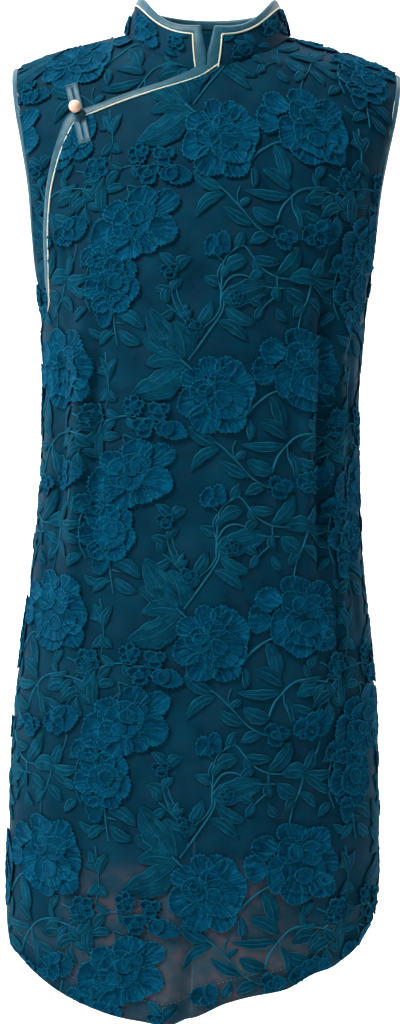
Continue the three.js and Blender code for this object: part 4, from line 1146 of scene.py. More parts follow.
opening_cord = dress(new_mesh("opening_cord", v_, q_, t_, uv_), CORD, "piping", "opening_piping")

ARM_BINDING = 5.6


def armhole_loop(sign, count=70):
    lv = np.linspace(0, 1, count)
    front = curve(-1, sign * arm_turn(lv), lv)
    back = curve(1, sign * arm_turn(lv), lv)
    pf, nf = on_cloth(-1, front[:, 0], front[:, 1])
    pb, nb = on_cloth(1, back[:, 0], back[:, 1])
    p = np.concatenate([pf, pb[::-1][1:-1]])
    n = np.concatenate([nf, nb[::-1][1:-1]])
    for k in (0, count - 1):
        p[k, 1] = 0
        n[k, 1] = 0
    # soften the turn at the shoulder and the underarm
    for _ in range(3):
        n = (np.roll(n, 1, axis=0) + 2 * n + np.roll(n, -1, axis=0)) / 4
    n /= np.linalg.norm(n, axis=1, keepdims=True)
    return p, n


def make_armhole(name, sign, nodename):
    p, n = armhole_loop(sign)
    tangent = np.roll(p, -1, axis=0) - np.roll(p, 1, axis=0)
    tangent /= np.linalg.norm(tangent, axis=1, keepdims=True)
    d = np.cross(tangent, n)
    d /= np.linalg.norm(d, axis=1, keepdims=True)
    centre = np.array([sign * 168.0, 0, -150.0])
    d *= np.sign(((centre - p) * d).sum(1))[:, None]
    verts, quads, tris, uv = strip(p + d * 0.2, p + d * (0.2 + ARM_BINDING), n, 0.8, 1.4, closed=True)
    return dress(new_mesh(name, verts, quads, tris, uv), SATIN, "satin", nodename)


armhole_left = make_armhole("armhole_satin_left", 1, "armhole_binding_left")
armhole_right = make_armhole("armhole_satin_right", -1, "armhole_binding_right")

# =====================================================================================
# The frog: two doubled straps, the loop and its knot, and the ball button
# =====================================================================================
def front_spot(across, height):
    level = level_at(across, height)
    return curve(-1, turn_at(across, level), level)


def strap(name, start, stop, lift, nodename):
    """Two soft cords side by side, folded over at the far end. start is the far end."""
    start, stop = np.array(start, float), np.array(stop, float)
    run = stop - start
    length = np.linalg.norm(run)
    side = np.array([-run[1], run[0]]) / length
    batch = Batch()
    for k in (-1, 1):
        flat = start[None] + np.linspace(0, 1, 16)[:, None] * run[None] + side * (k * 3.05)
        uv = front_spot(flat[:, 0], flat[:, 1])
        p, n = on_cloth(-1, uv[:, 0], uv[:, 1])
        p = p + n * lift(uv)[:, None]
        d = np.gradient(p, axis=0)
        d /= np.linalg.norm(d, axis=1, keepdims=True)
        across = np.cross(d, n)
        across /= np.linalg.norm(across, axis=1, keepdims=True)
        v, q, t = tube(p, across, n, 6.1, 2.7, 14, shape=3.4)
        tuv = np.stack(np.broadcast_arrays(np.linspace(0, length, 16)[:, None], np.arange(14)[None, :] * 1.2), -1).reshape(-1, 2)
        batch.add(v, q, t, np.concatenate([tuv, tuv[:2]]))
    for along, height in ((0.3, 3.2), (2.7, 3.1)):
        flat = start[None] + run[None] / length * along + np.linspace(-6.1, 6.1, 12)[:, None] * side[None]
        uv = front_spot(flat[:, 0], flat[:, 1])
        p, n = on_cloth(-1, uv[:, 0], uv[:, 1])
        p = p + n * (lift(uv) + 0.1)[:, None]
        d = np.gradient(p, axis=0)
        d /= np.linalg.norm(d, axis=1, keepdims=True)
        across = np.cross(d, n)
        across /= np.linalg.norm(across, axis=1, keepdims=True)
        v, q, t = tube(p, across, n, 2.3, height, 10, shape=2.2)
        batch.add(v, q, t)
    return dress(batch.make(name), SATIN, "satin", nodename)


frog_upper = strap("frog_upper_strap", (-126.2, -67.5), (-120.3, -92.5), lambda uv: pressed(uv) * 0.75 + 1.5, "frog_upper")
frog_lower = strap("frog_lower_strap", (-110.2, -127.5), (-116.6, -101.5), lambda uv: np.full(len(uv), 2.1), "frog_lower")

button_uv = front_spot(-116.0, -96.5)
button_p, button_n = on_cloth(-1, button_uv[0], button_uv[1])


def round_body(centre, axis, radius, across_count=36, rows=24, squash=1.0):
    """A closed ball on an axis."""
    axis = np.asarray(axis) / np.linalg.norm(axis)
    e1 = np.cross(axis, [0, 0, 1.0])
    e1 /= np.linalg.norm(e1)
    e2 = np.cross(axis, e1)
    th = np.linspace(0, math.pi, rows)[1:-1]
    ph = np.linspace(0, 2 * math.pi, across_count, endpoint=False)
    ring = (np.cos(th)[:, None, None] * axis * squash + np.sin(th)[:, None, None] * (np.cos(ph)[None, :, None] * e1 + np.sin(ph)[None, :, None] * e2)) * radius
    verts = np.concatenate([ring.reshape(-1, 3), [axis * radius * squash], [-axis * radius * squash]]) + centre
    k, c = len(th), across_count
    idx = np.arange(k * c).reshape(k, c)
    nxt = np.roll(idx, -1, axis=1)
    quads = np.stack([idx[:-1].ravel(), nxt[:-1].ravel(), nxt[1:].ravel(), idx[1:].ravel()], 1)
    turned = outward(verts, quads)
    tris = np.concatenate([np.stack([np.full(c, k * c), nxt[0], idx[0]], 1), np.stack([np.full(c, k * c + 1), idx[-1], nxt[-1]], 1)])
    if not (turned[0] == quads[0]).all():
        tris = tris[:, ::-1]
    return verts, turned, tris


def ring_cord(batch, centre, axis, radius, thick, tilt=0.0):
    axis = np.asarray(axis) / np.linalg.norm(axis)
    e1 = np.cross(axis, [0, 0, 1.0])
    e1 /= np.linalg.norm(e1)
    e2 = np.cross(axis, e1)
    ph = np.linspace(0, 2 * math.pi, 36, endpoint=False)
    out = np.cos(ph)[:, None] * e1 + np.sin(ph)[:, None] * e2
    path = centre + out * radius + axis * (tilt * np.cos(ph))[:, None]
    v, q, _ = tube(path, out, np.tile(axis, (36, 1)), thick, thick, 10, closed=True)
    batch.add(v, q, None, np.stack(np.broadcast_arrays((ph * radius)[:, None], np.arange(10)[None, :] * 0.6), -1).reshape(-1, 2))


v_, q_, t_ = round_body(button_p + button_n * 12.0 + [-1.5, 0, -0.5], button_n, 5.8)
dress(new_mesh("ball_button", v_, q_, t_, np.zeros((len(v_), 2))), BEAD, "bead", "button")
knot = Batch()
ring_cord(knot, button_p + button_n * 3.4 + [-1.2, 0, -1.8], button_n, 4.6, 2.9)
ring_cord(knot, button_p + button_n * 5.6 + [-1.2, 0, -2.6], button_n, 3.2, 2.6, 0.6)
shank = button_p + [-0.9, 0, -0.4] + button_n * np.linspace(0.2, 8.5, 8)[:, None]
e1_ = np.cross(button_n, [0, 0, 1.0])
e1_ /= np.linalg.norm(e1_)
v_, q_, t_ = tube(shank, np.tile(e1_, (8, 1)), np.tile(np.cross(button_n, e1_), (8, 1)), 4.4, 4.4, 14)
knot.add(v_, q_, t_)
v_, q_, t_ = round_body(button_p + button_n * 4.4 + [-1.0, 0, -7.6], button_n, 4.3, 22, 14, 0.8)
knot.add(v_, q_, t_)
dress(knot.make("loop_and_knot"), SATIN, "satin", "frog_loop")

# =====================================================================================
# The motifs. A repeat of the cloth is drawn in chart units (0.925 mm each) from the centre
# of its round peony, x to the wearer's left and y down. Every petal, leaf and stem is a
# closed relief of its own that follows the cloth, with its edge lifted off it.
# =====================================================================================
UNIT = 0.925
REPEAT_U, REPEAT_V = 238.0, 226.5
rng = np.random.default_rng(7)

# each petal: x, y, half width, half height, turn in degrees, scallops, layer
PEONY = [
    (17, -3, 20, 28, 0, 5, 0), (14, 25, 15, 14, -15, 3, 0), (-10, 25, 16, 14, 10, 3, 0), (-25, 9, 13, 15, 0, 3, 0),
    (-23, -13, 12, 12, 0, 3, 0), (-7, -26, 11, 10, 0, 3, 0), (9, -26, 11, 10, 0, 3, 0),
    (9, 6, 21, 18, 20, 5, 1), (-13, -2, 13, 12, 0, 3, 1), (2, -13, 11, 9, 0, 3, 1), (-12, -3, 7, 6, 0, 2, 2), (7, 4, 9, 7, 30, 2, 2),
]
TALL_PEONY = [
    (-47, 7, 11, 14, -15, 3, 0), (-38, -13, 13, 12, 0, 4, 0), (-10, -26, 17, 10, 5, 3, 0), (16, -18, 15, 14, 0, 3, 0),
    (25, 6, 13, 20, 0, 5, 0), (23, 27, 13, 12, 0, 3, 0), (-3, 30, 19, 14, 0, 4, 0), (-23, 14, 13, 19, 0, 4, 0),
    (3, 13, 23, 21, 0, 5, 1), (-12, -9, 14, 13, 20, 3, 1), (10, -6, 12, 12, 0, 3, 1), (-6, -7, 8, 9, 0, 2, 2), (4, 16, 10, 8, 0, 3, 2),
]
WIDE_PEONY = [
    (2, 6, 10, 9, 0, 0, 0),
    (30, -19, 16, 12, -25, 4, 0), (8, -25, 16, 11, -10, 3, 0), (29, 6, 15, 15, 10, 4, 0), (-27, 9, 17, 18, 0, 4, 0),
    (-9, 21, 19, 12, 8, 4, 0), (14, 18, 12, 10, 0, 3, 0), (-17, -13, 13, 12, 0, 3, 0),
    (-1, -4, 21, 17, -20, 5, 1), (12, -12, 11, 9, -30, 3, 1), (-14, 9, 13, 11, 0, 3, 1), (3, -7, 9, 7, 0, 2, 2), (-5, 6, 8, 6, 0, 2, 2),
]
ROUND_BLOOM = [
    (-13, -24, 9, 8, 0, 0, 0),
    (14, -12, 12, 12, 0, 3, 0), (18, 5, 11, 13, 0, 4, 0), (8, 19, 12, 10, 0, 3, 0), (-9, 18, 12, 10, 0, 3, 0),
    (-18, 3, 11, 13, 0, 4, 0), (-11, -14, 13, 12, 0, 3, 0), (2, -18, 11, 9, 0, 3, 0), (2, 1, 17, 16, 0, 5, 1), (4, -2, 8, 8, 0, 3, 2),
]


def blossom(r):
    return [(0.55 * r * math.cos(a), 0.55 * r * math.sin(a), 0.56 * r, 0.5 * r, math.degrees(a), 2, 0)
            for a in np.radians([20, 92, 164, 236, 308])] + [(0, 0, 0.34 * r, 0.34 * r, 0, 0, 1)]


def ragged(r):
    return [(-0.42 * r, -0.2 * r, 0.6 * r, 0.52 * r, 10, 3, 0), (0.42 * r, -0.28 * r, 0.56 * r, 0.5 * r, -10, 3, 0),
            (0.08 * r, 0.4 * r, 0.66 * r, 0.48 * r, 0, 4, 0), (0, 0, 0.42 * r, 0.34 * r, 0, 2, 1)]


TWO_LOBES = [(-6, 1, 7, 10, 12, 2, 0), (6, -2, 7, 10, -14, 2, 0), (0, 6, 5, 5, 0, 0, 1)]
FAN = [(3, -2, 14, 12, -30, 4, 0), (-5, -7, 8, 6, -30, 2, 1)]

# flower, x, y, turn
BLOOMS = [
    (PEONY, 0, 0, 0), (TALL_PEONY, 93, -30, 0), (WIDE_PEONY, -85, 82, 0), (ROUND_BLOOM, -106, 138, 0),
    (ragged(11), -56, 18, 10), (blossom(10), -81, 13, 40), (ragged(12), -71, 34, 0), (ragged(13), 65, 91, 20),
    (TWO_LOBES, -1, 101, 0), (TWO_LOBES, 96, 86, 35), (blossom(12), 133, 22, 0), (blossom(7), 18, -94, 30),
    ([(2, 0, 13, 9, 12, 4, 0), (-7, -2, 9, 8, 0, 2, 1)], -43, 37, 0),
    (FAN, 108, 82, 0),
    ([(0, 0, 9, 13, 0, 3, 0)], -113, 168, 0),
    (ragged(9), -24, 180, 20), (ragged(9), -48, 126, 0), (TWO_LOBES, 131, 110, 20),
]

# each leaf: base x, y, tip x, y, width, bow
LEAVES = [
    # the five-lobed leaf at the peony's upper left
    (-31, -33, -68, -81, 25, -4), (-31, -32, -43, -70, 30, 3), (-31, -31, -73, -51, 20, 2), (-31, -30, -70, -28, 17, 4),
    (-28, -30, -83, 2, 29, -7), (-34, -32, -58, -62, 24, 0),
    # along the stem above it
    (-19, -66, -6, -90, 12, 2), (1, -71, 30, -52, 12, -3), (-42, -121, -58, -135, 10, 2), (-41, -120, -27, -132, 12, -3),
    (-50, -86, -49, -105, 11, -2), (-35, -75, -29, -88, 5, 0), (-34, -76, -42, -88, 5, 0), (-24, -57, -41, -65, 5, 1),
    (-22, -52, -12, -66, 6, 0), (-2, -104, -14, -114, 9, 2), (2, -113, 13, -124, 8, -2),
    # the broad leaf and its lobes
    (3, -85, 54, -107, 23, -4), (7, -84, 36, -69, 13, 3), (4, -88, 16, -106, 13, 1),
    # on the arching stem under the tall peony
    (70, 49, 25, 50, 10, -2), (72, 42, 42, 27, 14, 3), (67, 36, 54, 0, 15, 3), (33, 25, 34, 46, 9, -1),
    (88, 39, 113, 34, 7, 2), (86, 52, 112, 46, 15, -3), (80, 63, 106, 71, 14, 3), (83, 83, 75, 56, 10, 3), (59, 76, 32, 66, 15, -2),
    (118, 41, 104, 58, 8, 2), (119, 40, 133, 54, 9, 2), (100, 37, 93, 22, 7, 0),
    # on the stem that comes in from the left
    (3, 50, -27, 33, 13, -3), (5, 53, -24, 77, 11, 5), (34, 81, 4, 66, 11, -2), (50, 90, 30, 99, 11, 2), (19, 64, 31, 56, 7, 0),
    # on the stem below
    (16, 104, 24, 88, 10, 1), (33, 112, 62, 114, 10, 2), (6, 124, 28, 113, 14, -2), (58, 128, 81, 97, 15, 4),
    (71, 130, 102, 131, 16, -4), (57, 138, 61, 153, 10, 2), (67, 141, 89, 152, 16, 2), (34, 114, 40, 127, 8, 0), (2, 140, -14, 132, 10, 2),
    (3, 150, 16, 158, 9, -2), (44, 124, 30, 136, 9, 2),
    # left of the small blossoms
    (-116, 28, -136, 20, 10, 2), (-116, 29, -138, 34, 10, -2), (-116, 30, -133, 51, 11, -2), (-116, 36, -115, 69, 13, 3),
    (-100, 27, -113, 42, 10, 2), (-96, 25, -111, 16, 8, -1), (-94, 43, -116, 47, 9, 2), (-128, 49, -154, 66, 11, 3), (-88, 24, -80, 37, 7, 0),
    (-150, 12, -160, 28, 9, 2),
    # the sprig at the side
    (95, 130, 127, 129, 11, 3), (95, 132, 119, 151, 10, -2), (95, 129, 104, 106, 12, 2), (88, 155, 76, 168, 10, 2), (91, 148, 108, 164, 9, -2),
    (120, 60, 128, 78, 9, 2), (124, 56, 140, 64, 8, 0),
    # below the round bloom
    (-101, 167, -71, 183, 13, -4), (-98, 184, -74, 197, 11, 3), (-104, 184, -120, 198, 10, 2), (-112, 190, -130, 182, 8, -2),
    (-132, 160, -146, 174, 9, 2), (-134, 150, -150, 144, 9, 2), (-130, 106, -142, 120, 9, -2), (-46, 150, -62, 142, 10, 2), (-47, 146, -35, 134, 9, -2),
    (-42, 164, -58, 172, 9, -2), (-38, 170, -24, 164, 8, 2), (58, 160, 70, 172, 9, 2), (30, 146, 44, 158, 9, 2), (44, 158, 36, 172, 8, 0),
    # the small sprig above those blossoms
    (-110, -14, -120, -35, 10, 2), (-109, -12, -100, -34, 9, -2), (-109, -5, -120, 9, 9, -2), (-108, -3, -98, 8, 9, 2), (-110, -20, -124, -20, 8, 2),
]

# each stem: its points, width
STEMS = [
    ([(-28, -32), (-12, -55), (5, -82), (3, -100), (-1, -116), (3, -126)], 2.3),
    ([(-21, -44), (-22, -58), (-30, -76), (-40, -97), (-42, -121)], 1.8), ([(-36, -33), (-26, -24), (-20, -18)], 2.4),
    ([(-34, -72), (-42, -80), (-50, -86)], 1.5), ([(-36, -76), (-36, -90)], 1.3), ([(-22, -57), (-34, -62)], 1.4),
    ([(3, -100), (12, -114), (26, -116), (45, -106), (66, -105)], 1.9),
    ([(30, 20), (40, 9), (57, -3), (70, -4)], 2.4),
    ([(57, 76), (63, 60), (72, 49), (83, 40), (97, 37), (119, 40), (136, 47)], 2.2), ([(72, 49), (74, 62), (83, 76), (93, 84)], 1.7),
    ([(119, 40), (128, 32), (133, 26)], 1.6), ([(119, 42), (122, 58), (118, 70), (110, 78)], 1.6),
    ([(-25, 33), (2, 49), (19, 64), (36, 82), (50, 90), (60, 92)], 2.1), ([(20, 46), (17, 54), (19, 64)], 1.4),
    ([(3, 160), (3, 147), (5, 117), (18, 103), (26, 102), (34, 112), (45, 123), (58, 129), (72, 130), (84, 131), (95, 131)], 2.1),
    ([(3, 160), (-2, 170), (-13, 180), (-21, 189)], 1.9), ([(4, 116), (-2, 110), (-2, 104)], 1.5),
    ([(-52, 27), (-70, 26), (-88, 23), (-102, 25), (-116, 29), (-130, 26), (-146, 20)], 1.9), ([(-80, 46), (-92, 42), (-90, 52), (-99, 60), (-104, 74)], 1.5),
    ([(-116, 30), (-128, 48), (-142, 60), (-152, 74)], 1.6),
    ([(-106, 158), (-102, 182), (-99, 199)], 2.0), ([(-101, 176), (-92, 178)], 1.4), ([(-102, 186), (-112, 190), (-120, 186)], 1.5),
    ([(-46, 137), (-45, 150), (-38, 166), (-30, 178), (-18, 202)], 1.7), ([(-127, 104), (-134, 128), (-134, 150), (-128, 166)], 1.5),
    ([(95, 131), (91, 148), (84, 164), (80, 190)], 1.7), ([(58, 129), (58, 146), (48, 156), (40, 166)], 1.5), ([(112, 96), (108, 110), (98, 124)], 1.6),
    ([(-113, -40), (-110, -20), (-108, -3), (-111, 16)], 1.7),
]


def spline(points, each=5):
    p = np.asarray(points, float)
    q = np.concatenate([[2 * p[0] - p[1]], p, [2 * p[-1] - p[-2]]])
    out = []
    for k in range(1, len(q) - 2):
        t = np.linspace(0, 1, each, endpoint=False)[:, None]
        a, b, c, d = q[k - 1], q[k], q[k + 1], q[k + 2]
        out.append(0.5 * (2 * b + (c - a) * t + (2 * a - 5 * b + 4 * c - d) * t**2 + (3 * b - a - 3 * c + d) * t**3))
    out.append(p[-1:])
    return np.concatenate(out)


class Relief:
    """Reliefs on one side of the cloth: gathered as cloth distances and heights, then laid on it."""

    def __init__(self, side, inside, clamp, lay):
        self.side, self.inside, self.clamp, self.lay = side, inside, clamp, lay
        self.pos, self.h, self.uv, self.tone, self.q, self.t, self.n = [], [], [], [], [], [], 0

    def add(self, pos, h, uv, tone, quads, tris):
        ok = self.inside(pos)
        if ok.mean() < 0.34:
            return
        self.pos.append(self.clamp(pos))
        self.h.append(np.where(ok, h, np.minimum(h, 1.2)))
        self.uv.append(uv)
        self.tone.append(tone)
        if len(quads):
            self.q.append(quads + self.n)
        if len(tris):
            self.t.append(tris + self.n)
        self.n += len(pos)

    def make(self, name):
        pos, h = np.concatenate(self.pos), np.concatenate(self.h)
        p, n = self.lay(pos)
        verts = p + n * h[:, None]
        return new_mesh(name, verts, np.concatenate(self.q) if self.q else None, np.concatenate(self.t) if self.t else None,
                        uv=np.concatenate(self.uv), tone=np.concatenate(self.tone))


def add_petal(relief, at, centre, rx, ry, turn, scallops, layer, heart):
    """at: the cloth distances of the chart's origin. All other lengths are in chart units."""
    around = math.pi * (rx + ry) * UNIT
    count = int(np.clip(round(around / 2.0 / 2) * 2, 16, 70))
    th = np.linspace(0, 2 * math.pi, count, endpoint=False)
    phase = rng.uniform(0, 2 * math.pi)
    shape = np.ones(count)
    if scallops:
        out = math.atan2(centre[1] - heart[1], centre[0] - heart[0])
        k = 2.0 * scallops
        shape = 1 + 0.13 * (np.abs(np.cos(k * (th - out + math.radians(-turn)) / 4 + phase * 0.15)) ** 0.6 - 0.6)
    shape += 0.035 * np.sin(3 * th + phase) + 0.022 * np.sin(5 * th + 2 * phase)
    shape += (1.05 / max(rx, ry)) * np.where(np.arange(count) % 2 == 0, 1, -1) * (1.0, 0.75, 0.4)[layer]
    c, s = math.cos(math.radians(turn)), math.sin(math.radians(turn))
    ox, oy = rx * np.cos(th) * shape, ry * np.sin(th) * shape
    ring = np.stack([ox * c - oy * s, ox * s + oy * c], 1) * UNIT
    mean = (rx + ry) / 2 * UNIT
    base = (0.6, 1.5, 2.3)[layer] + rng.uniform(-0.15, 0.15)
    lift = base + (1.6, 1.1, 0.7)[layer]
    insets = [0.0, 0.9, 2.2, mean * 0.55]
    fr = [1.0] + [max(0.25, 1 - d / mean) for d in insets[1:]]
    heights = [lift + 0.35, lift + 0.75, lift + 0.1, base + 0.55]
    tones = [1.0, 0.8, 0.1, 0.0]
    pts, hs, tn, ds = [], [], [], []
    # the underside: a ring on the cloth, then the lifted rim
    pts.append(ring * 0.7); hs.append(np.full(count, base - 0.75)); tn.append(np.full(count, 0.0)); ds.append(np.full(count, 3.0))
    pts.append(ring * 0.985); hs.append(np.full(count, lift - 0.25)); tn.append(np.full(count, 0.4)); ds.append(np.full(count, 0.0))
    for f, h, t in zip(fr, heights, tones):
        pts.append(ring * f); hs.append(np.full(count, h)); tn.append(np.full(count, t)); ds.append(np.full(count, (1 - f) * mean))
    ripple = 0.22 * np.sin(th * (scallops * 2 + 1) + phase)
    hs[2] = hs[2] + ripple
    hs[3] = hs[3] + ripple
    # the rings away from the notched rim need only every second point
    for i in (0, 4, 5):
        pts[i], hs[i], tn[i], ds[i] = pts[i][::2], hs[i][::2], tn[i][::2], ds[i][::2]
    first = np.cumsum([0] + [len(r) for r in pts])
    idx = [np.arange(first[i], first[i + 1]) for i in range(6)]
    nxt = [np.roll(r, -1) for r in idx]
    pts = np.concatenate(pts + [np.zeros((2, 2))])
    hs = np.concatenate(hs + [np.array([base - 0.75, base + 0.5])])
    tn = np.concatenate(tn + [np.array([0.0, 0.0])])
    ds = np.concatenate(ds + [np.array([mean, mean])])
    local = pts + np.array(centre) * UNIT
    pos = np.stack([at[0] + local[:, 0], at[1] + local[:, 1]], 1)
    away = local - np.array(heart) * UNIT
    angle = np.arctan2(away[:, 1], away[:, 0])
    uv = np.stack([angle * 14, np.linalg.norm(away, axis=1)], 1)
    shade = rng.uniform(0, 1)
    tone = np.stack([tn, np.full(len(tn), shade), ds / 20, np.ones(len(tn))], 1)
    quads = np.concatenate([np.stack([idx[i], nxt[i], nxt[i + 1], idx[i + 1]], 1) for i in (1, 2, 4)])
    low, high = first[6], first[6] + 1
    a, a2, e, e2 = idx[0], nxt[0], idx[4], nxt[4]
    (b, b1, b2), (d, d1, d2) = [(r[::2], r[1::2], np.roll(r[::2], -1)) for r in (idx[1], idx[3])]
    tris = np.concatenate([np.stack(t, 1) for t in (
        (a2, a, np.full(len(a), low)), (idx[5], nxt[5], np.full(len(a), high)),
        (a, a2, b1), (a2, b2, b1), (a, b1, b),
        (d, d1, e), (d1, d2, e2), (d1, e2, e),
    )])
    if relief.side > 0:
        quads, tris = quads[:, ::-1], tris[:, ::-1]
    # the chart's y runs down, so the ring's order is turned over to look outward
    relief.add(pos, hs, uv, tone, quads[:, ::-1], tris[:, ::-1])


def add_leaf(relief, at, base, tip, width, bow):
    b, t = np.array(base, float) * UNIT, np.array(tip, float) * UNIT
    axis = t - b
    length = np.linalg.norm(axis)
    d = axis / length
    side = np.array([-d[1], d[0]])
    k = int(np.clip(round(length / 3.2), 6, 13))
    s = np.linspace(0, 1, k)
    mid = b + np.outer(s, axis) + np.outer(bow * UNIT * np.sin(math.pi * s), side)
    half = width * UNIT / 2 * np.sin(math.pi * np.clip(s, 0.03, 0.985) ** (1.0 if width > 12 else 0.9)) ** (0.62 if width > 12 else 0.75)
    half *= 1 + 0.07 * np.sin(s * 21 + rng.uniform(0, 6))
    lift = 1.5 + rng.uniform(0, 0.5)
    rim = 1 - min(0.5, 1.3 / max(1.0, half.max()))
    vein = min(0.3, 0.75 / max(1.0, half.max()))
    across = [-1.0, -rim, -vein, 0.0, vein, rim, 1.0, 0.0]
    high = [lift, lift + 0.3, lift - 0.1, lift + 0.25, lift - 0.1, lift + 0.3, lift, -0.4]
    light = [1.0, 0.45, 0.3, 0.96, 0.3, 0.45, 1.0, 0.0]
    flat = np.sin(math.pi * np.clip(s, 0.04, 0.96)) ** 0.5
    pts = np.stack([mid + half[:, None] * a * side for a in across], 1)
    hs = np.stack([np.full(k, 0.3) + (h - 0.3) * flat if h > 0 else np.full(k, h) for h in high], 1)
    tn = np.tile(light, (k, 1))
    dist = np.tile([0.0, 1.5, 2.5, 3.0, 2.5, 1.5, 0.0, 0.0], (k, 1))
    uv = np.stack([np.tile(across, (k, 1)) * width / 2, np.tile((s * length)[:, None], (1, 8)) - np.abs(np.tile(across, (k, 1))) * 3], -1)
    pts, hs, tn, dist, uv = pts.reshape(-1, 2), hs.ravel(), tn.ravel(), dist.ravel(), uv.reshape(-1, 2)
    pos = pts + np.array(at)
    tone = np.stack([tn, np.full(len(tn), rng.uniform(0, 1)), dist / 20, np.ones(len(tn))], 1)
    idx = np.arange(k * 8).reshape(k, 8)
    nxt = np.roll(idx, -1, axis=1)
    quads = np.stack([idx[:-1].ravel(), nxt[:-1].ravel(), nxt[1:].ravel(), idx[1:].ravel()], 1)
    caps = np.array([[c, 7, c + 1] for c in range(6)])
    tris = np.concatenate([caps, caps[:, ::-1] + (k - 1) * 8])
    if relief.side > 0:
        quads, tris = quads[:, ::-1], tris[:, ::-1]
    relief.add(pos, hs, uv, tone, quads, tris)


def add_stem(relief, at, points, width):
    path = spline(points, 4) * UNIT
    path = resample(path, max(4, int(np.linalg.norm(np.diff(path, axis=0), axis=1).sum() / 2.6)))
    d = np.gradient(path, axis=0)
    d /= np.linalg.norm(d, axis=1, keepdims=True)
    side = np.stack([-d[:, 1], d[:, 0]], 1)
    across, high = [-1.0, -0.7, 0.0, 0.7, 1.0], [-0.3, 1.0, 1.5, 1.0, -0.3]
    half = width / 2 * (1 - 0.25 * np.linspace(0, 1, len(path)))
    pts = np.stack([path + (half * a)[:, None] * side for a in across], 1)
    k = len(path)
    hs = np.tile(high, (k, 1))
    run = np.linspace(0, 1, k) * k * 2.6
    uv = np.stack([np.tile(across, (k, 1)), np.tile(run[:, None], (1, 5))], -1).reshape(-1, 2)
    pos = pts.reshape(-1, 2) + np.array(at)
    tone = np.tile([0.85, rng.uniform(0, 0.6), 0.0, 1.0], (k * 5, 1))
    idx = np.arange(k * 5).reshape(k, 5)
    nxt = np.roll(idx, -1, axis=1)
    quads = np.stack([idx[:-1].ravel(), nxt[:-1].ravel(), nxt[1:].ravel(), idx[1:].ravel()], 1)
    caps = np.array([[0, 4, 1], [1, 4, 3], [1, 3, 2]])
    tris = np.concatenate([caps, caps[:, ::-1] + (k - 1) * 5])
    if relief.side > 0:
        quads, tris = quads[:, ::-1], tris[:, ::-1]
    relief.add(pos, hs.ravel(), uv, tone, quads, tris)


# ---- the regions the motifs are cut to ----
def limits(line, key, across):
    """A boundary line as a function: the other coordinate at each value of key."""
    order = np.argsort(line[:, key], kind="stable")
    return lambda x: np.interp(x, line[order, key], line[order, across])


def region(top_line, foot_line, right_line, left_line, inset=0.6):
    top, foot = limits(top_line, 0, 1), limits(foot_line, 0, 1)
    right, left = limits(right_line, 1, 0), limits(left_line, 1, 0)

    def inside(pos):
        u, v = pos[:, 0], pos[:, 1]
        return (v > top(u) + inset) & (v < foot(u) - inset) & (u > right(v) + inset) & (u < left(v) - inset)

    def clamp(pos):
        u = np.clip(pos[:, 0], right(pos[:, 1]) + inset, left(pos[:, 1]) - inset)
        v = np.clip(pos[:, 1], top(u) + inset, foot(u) - inset)
        u = np.clip(u, right(v) + inset, left(v) - inset)
        return np.stack([u, v], 1)

    return inside, clamp


def side_line(side, sign):
    return np.concatenate([side_uv(side, sign), vent_uv(side, sign, 60)[1:]])


FRONT_REGION = region(
    np.concatenate([opening_uv("seam", np.linspace(CORNER, 0, 80)), neck_uv(ROUND_11, 90, 40), shoulder_uv(-1, 1, 40)[1:]]),
    hem_uv(-1, 361),
    np.concatenate([FRONT_SIDE, vent_uv(-1, -1, 60)[1:]]),
    side_line(-1, 1),
)
BACK_REGION = region(BACK_TOP, hem_uv(1, 361), side_line(1, -1), side_line(1, 1))
_run = np.linspace(0.6, OPENING_END, 160)
_corner = int(np.argmin(np.abs(_run - CORNER)))
UNDER_TUCK = tuck_line(_run)
UNDER_REGION = region(
    np.concatenate([UNDER_TOP, neck_uv(-90, -8, 30)[1:]]),
    np.concatenate([[[-400, 320.0], [UNDER_TUCK[_corner, 0] - 0.5, 320.0]], UNDER_TUCK[:_corner + 1][::-1]]),
    UNDER_ARM,
    np.concatenate([[[30, 0], [30, UNDER_TUCK[_corner, 1] - 0.5]], UNDER_TUCK[_corner:]]),
)


def flat_lay(side):
    return lambda pos: on_cloth(side, pos[:, 0], pos[:, 1])


def under_lay(pos):
    p, n = on_cloth(-1, pos[:, 0], pos[:, 1])
    return p + n * pressed(pos)[:, None], n


B_ROW_1 = (14.0, float(v_at(-1, -123.0, 14.0)))


def embroider(name, side, area, lay, origin, columns, rows):
    """Every repeat that falls on a piece of cloth, as one mesh of blooms and one of leaves and stems."""
    inside, clamp = area
    blooms, leaves = Relief(side, inside, clamp, lay), Relief(side, inside, clamp, lay)
    for row in rows:
        for column in columns:
            at = (origin[0] + column * REPEAT_U, origin[1] + row * REPEAT_V)
            for points, width in STEMS:
                add_stem(leaves, at, points, width)
            for leaf in LEAVES:
                add_leaf(leaves, at, leaf[0:2], leaf[2:4], leaf[4], leaf[5])
            for petals, x, y, turn in BLOOMS:
                c, s = math.cos(math.radians(turn)), math.sin(math.radians(turn))
                for px, py, rx, ry, rot, scallops, layer in petals:
                    spot = (x + px * c - py * s, y + px * s + py * c)
                    add_petal(blooms, at, spot, rx, ry, rot + turn, scallops, layer, (x, y))
    made = []
    for kind, relief, mat in (("blooms", blooms, FLOWER), ("leaves", leaves, LEAF)):
        if relief.n:
            made.append(dress(relief.make(name + "_" + kind), mat, "jacquard"))
    return made


front_motifs = embroider("front", -1, FRONT_REGION, flat_lay(-1), B_ROW_1, range(-2, 3), range(-1, 5))
back_motifs = embroider("back", 1, BACK_REGION, flat_lay(1), (B_ROW_1[0] - 40, B_ROW_1[1] - 34), range(-2, 3), range(-1, 6))
under_at = front_spot(-122.0, -40.0)
under_motifs = embroider("under", -1, UNDER_REGION, under_lay, (float(under_at[0]), float(under_at[1])), range(-2, 2), range(-1, 3))
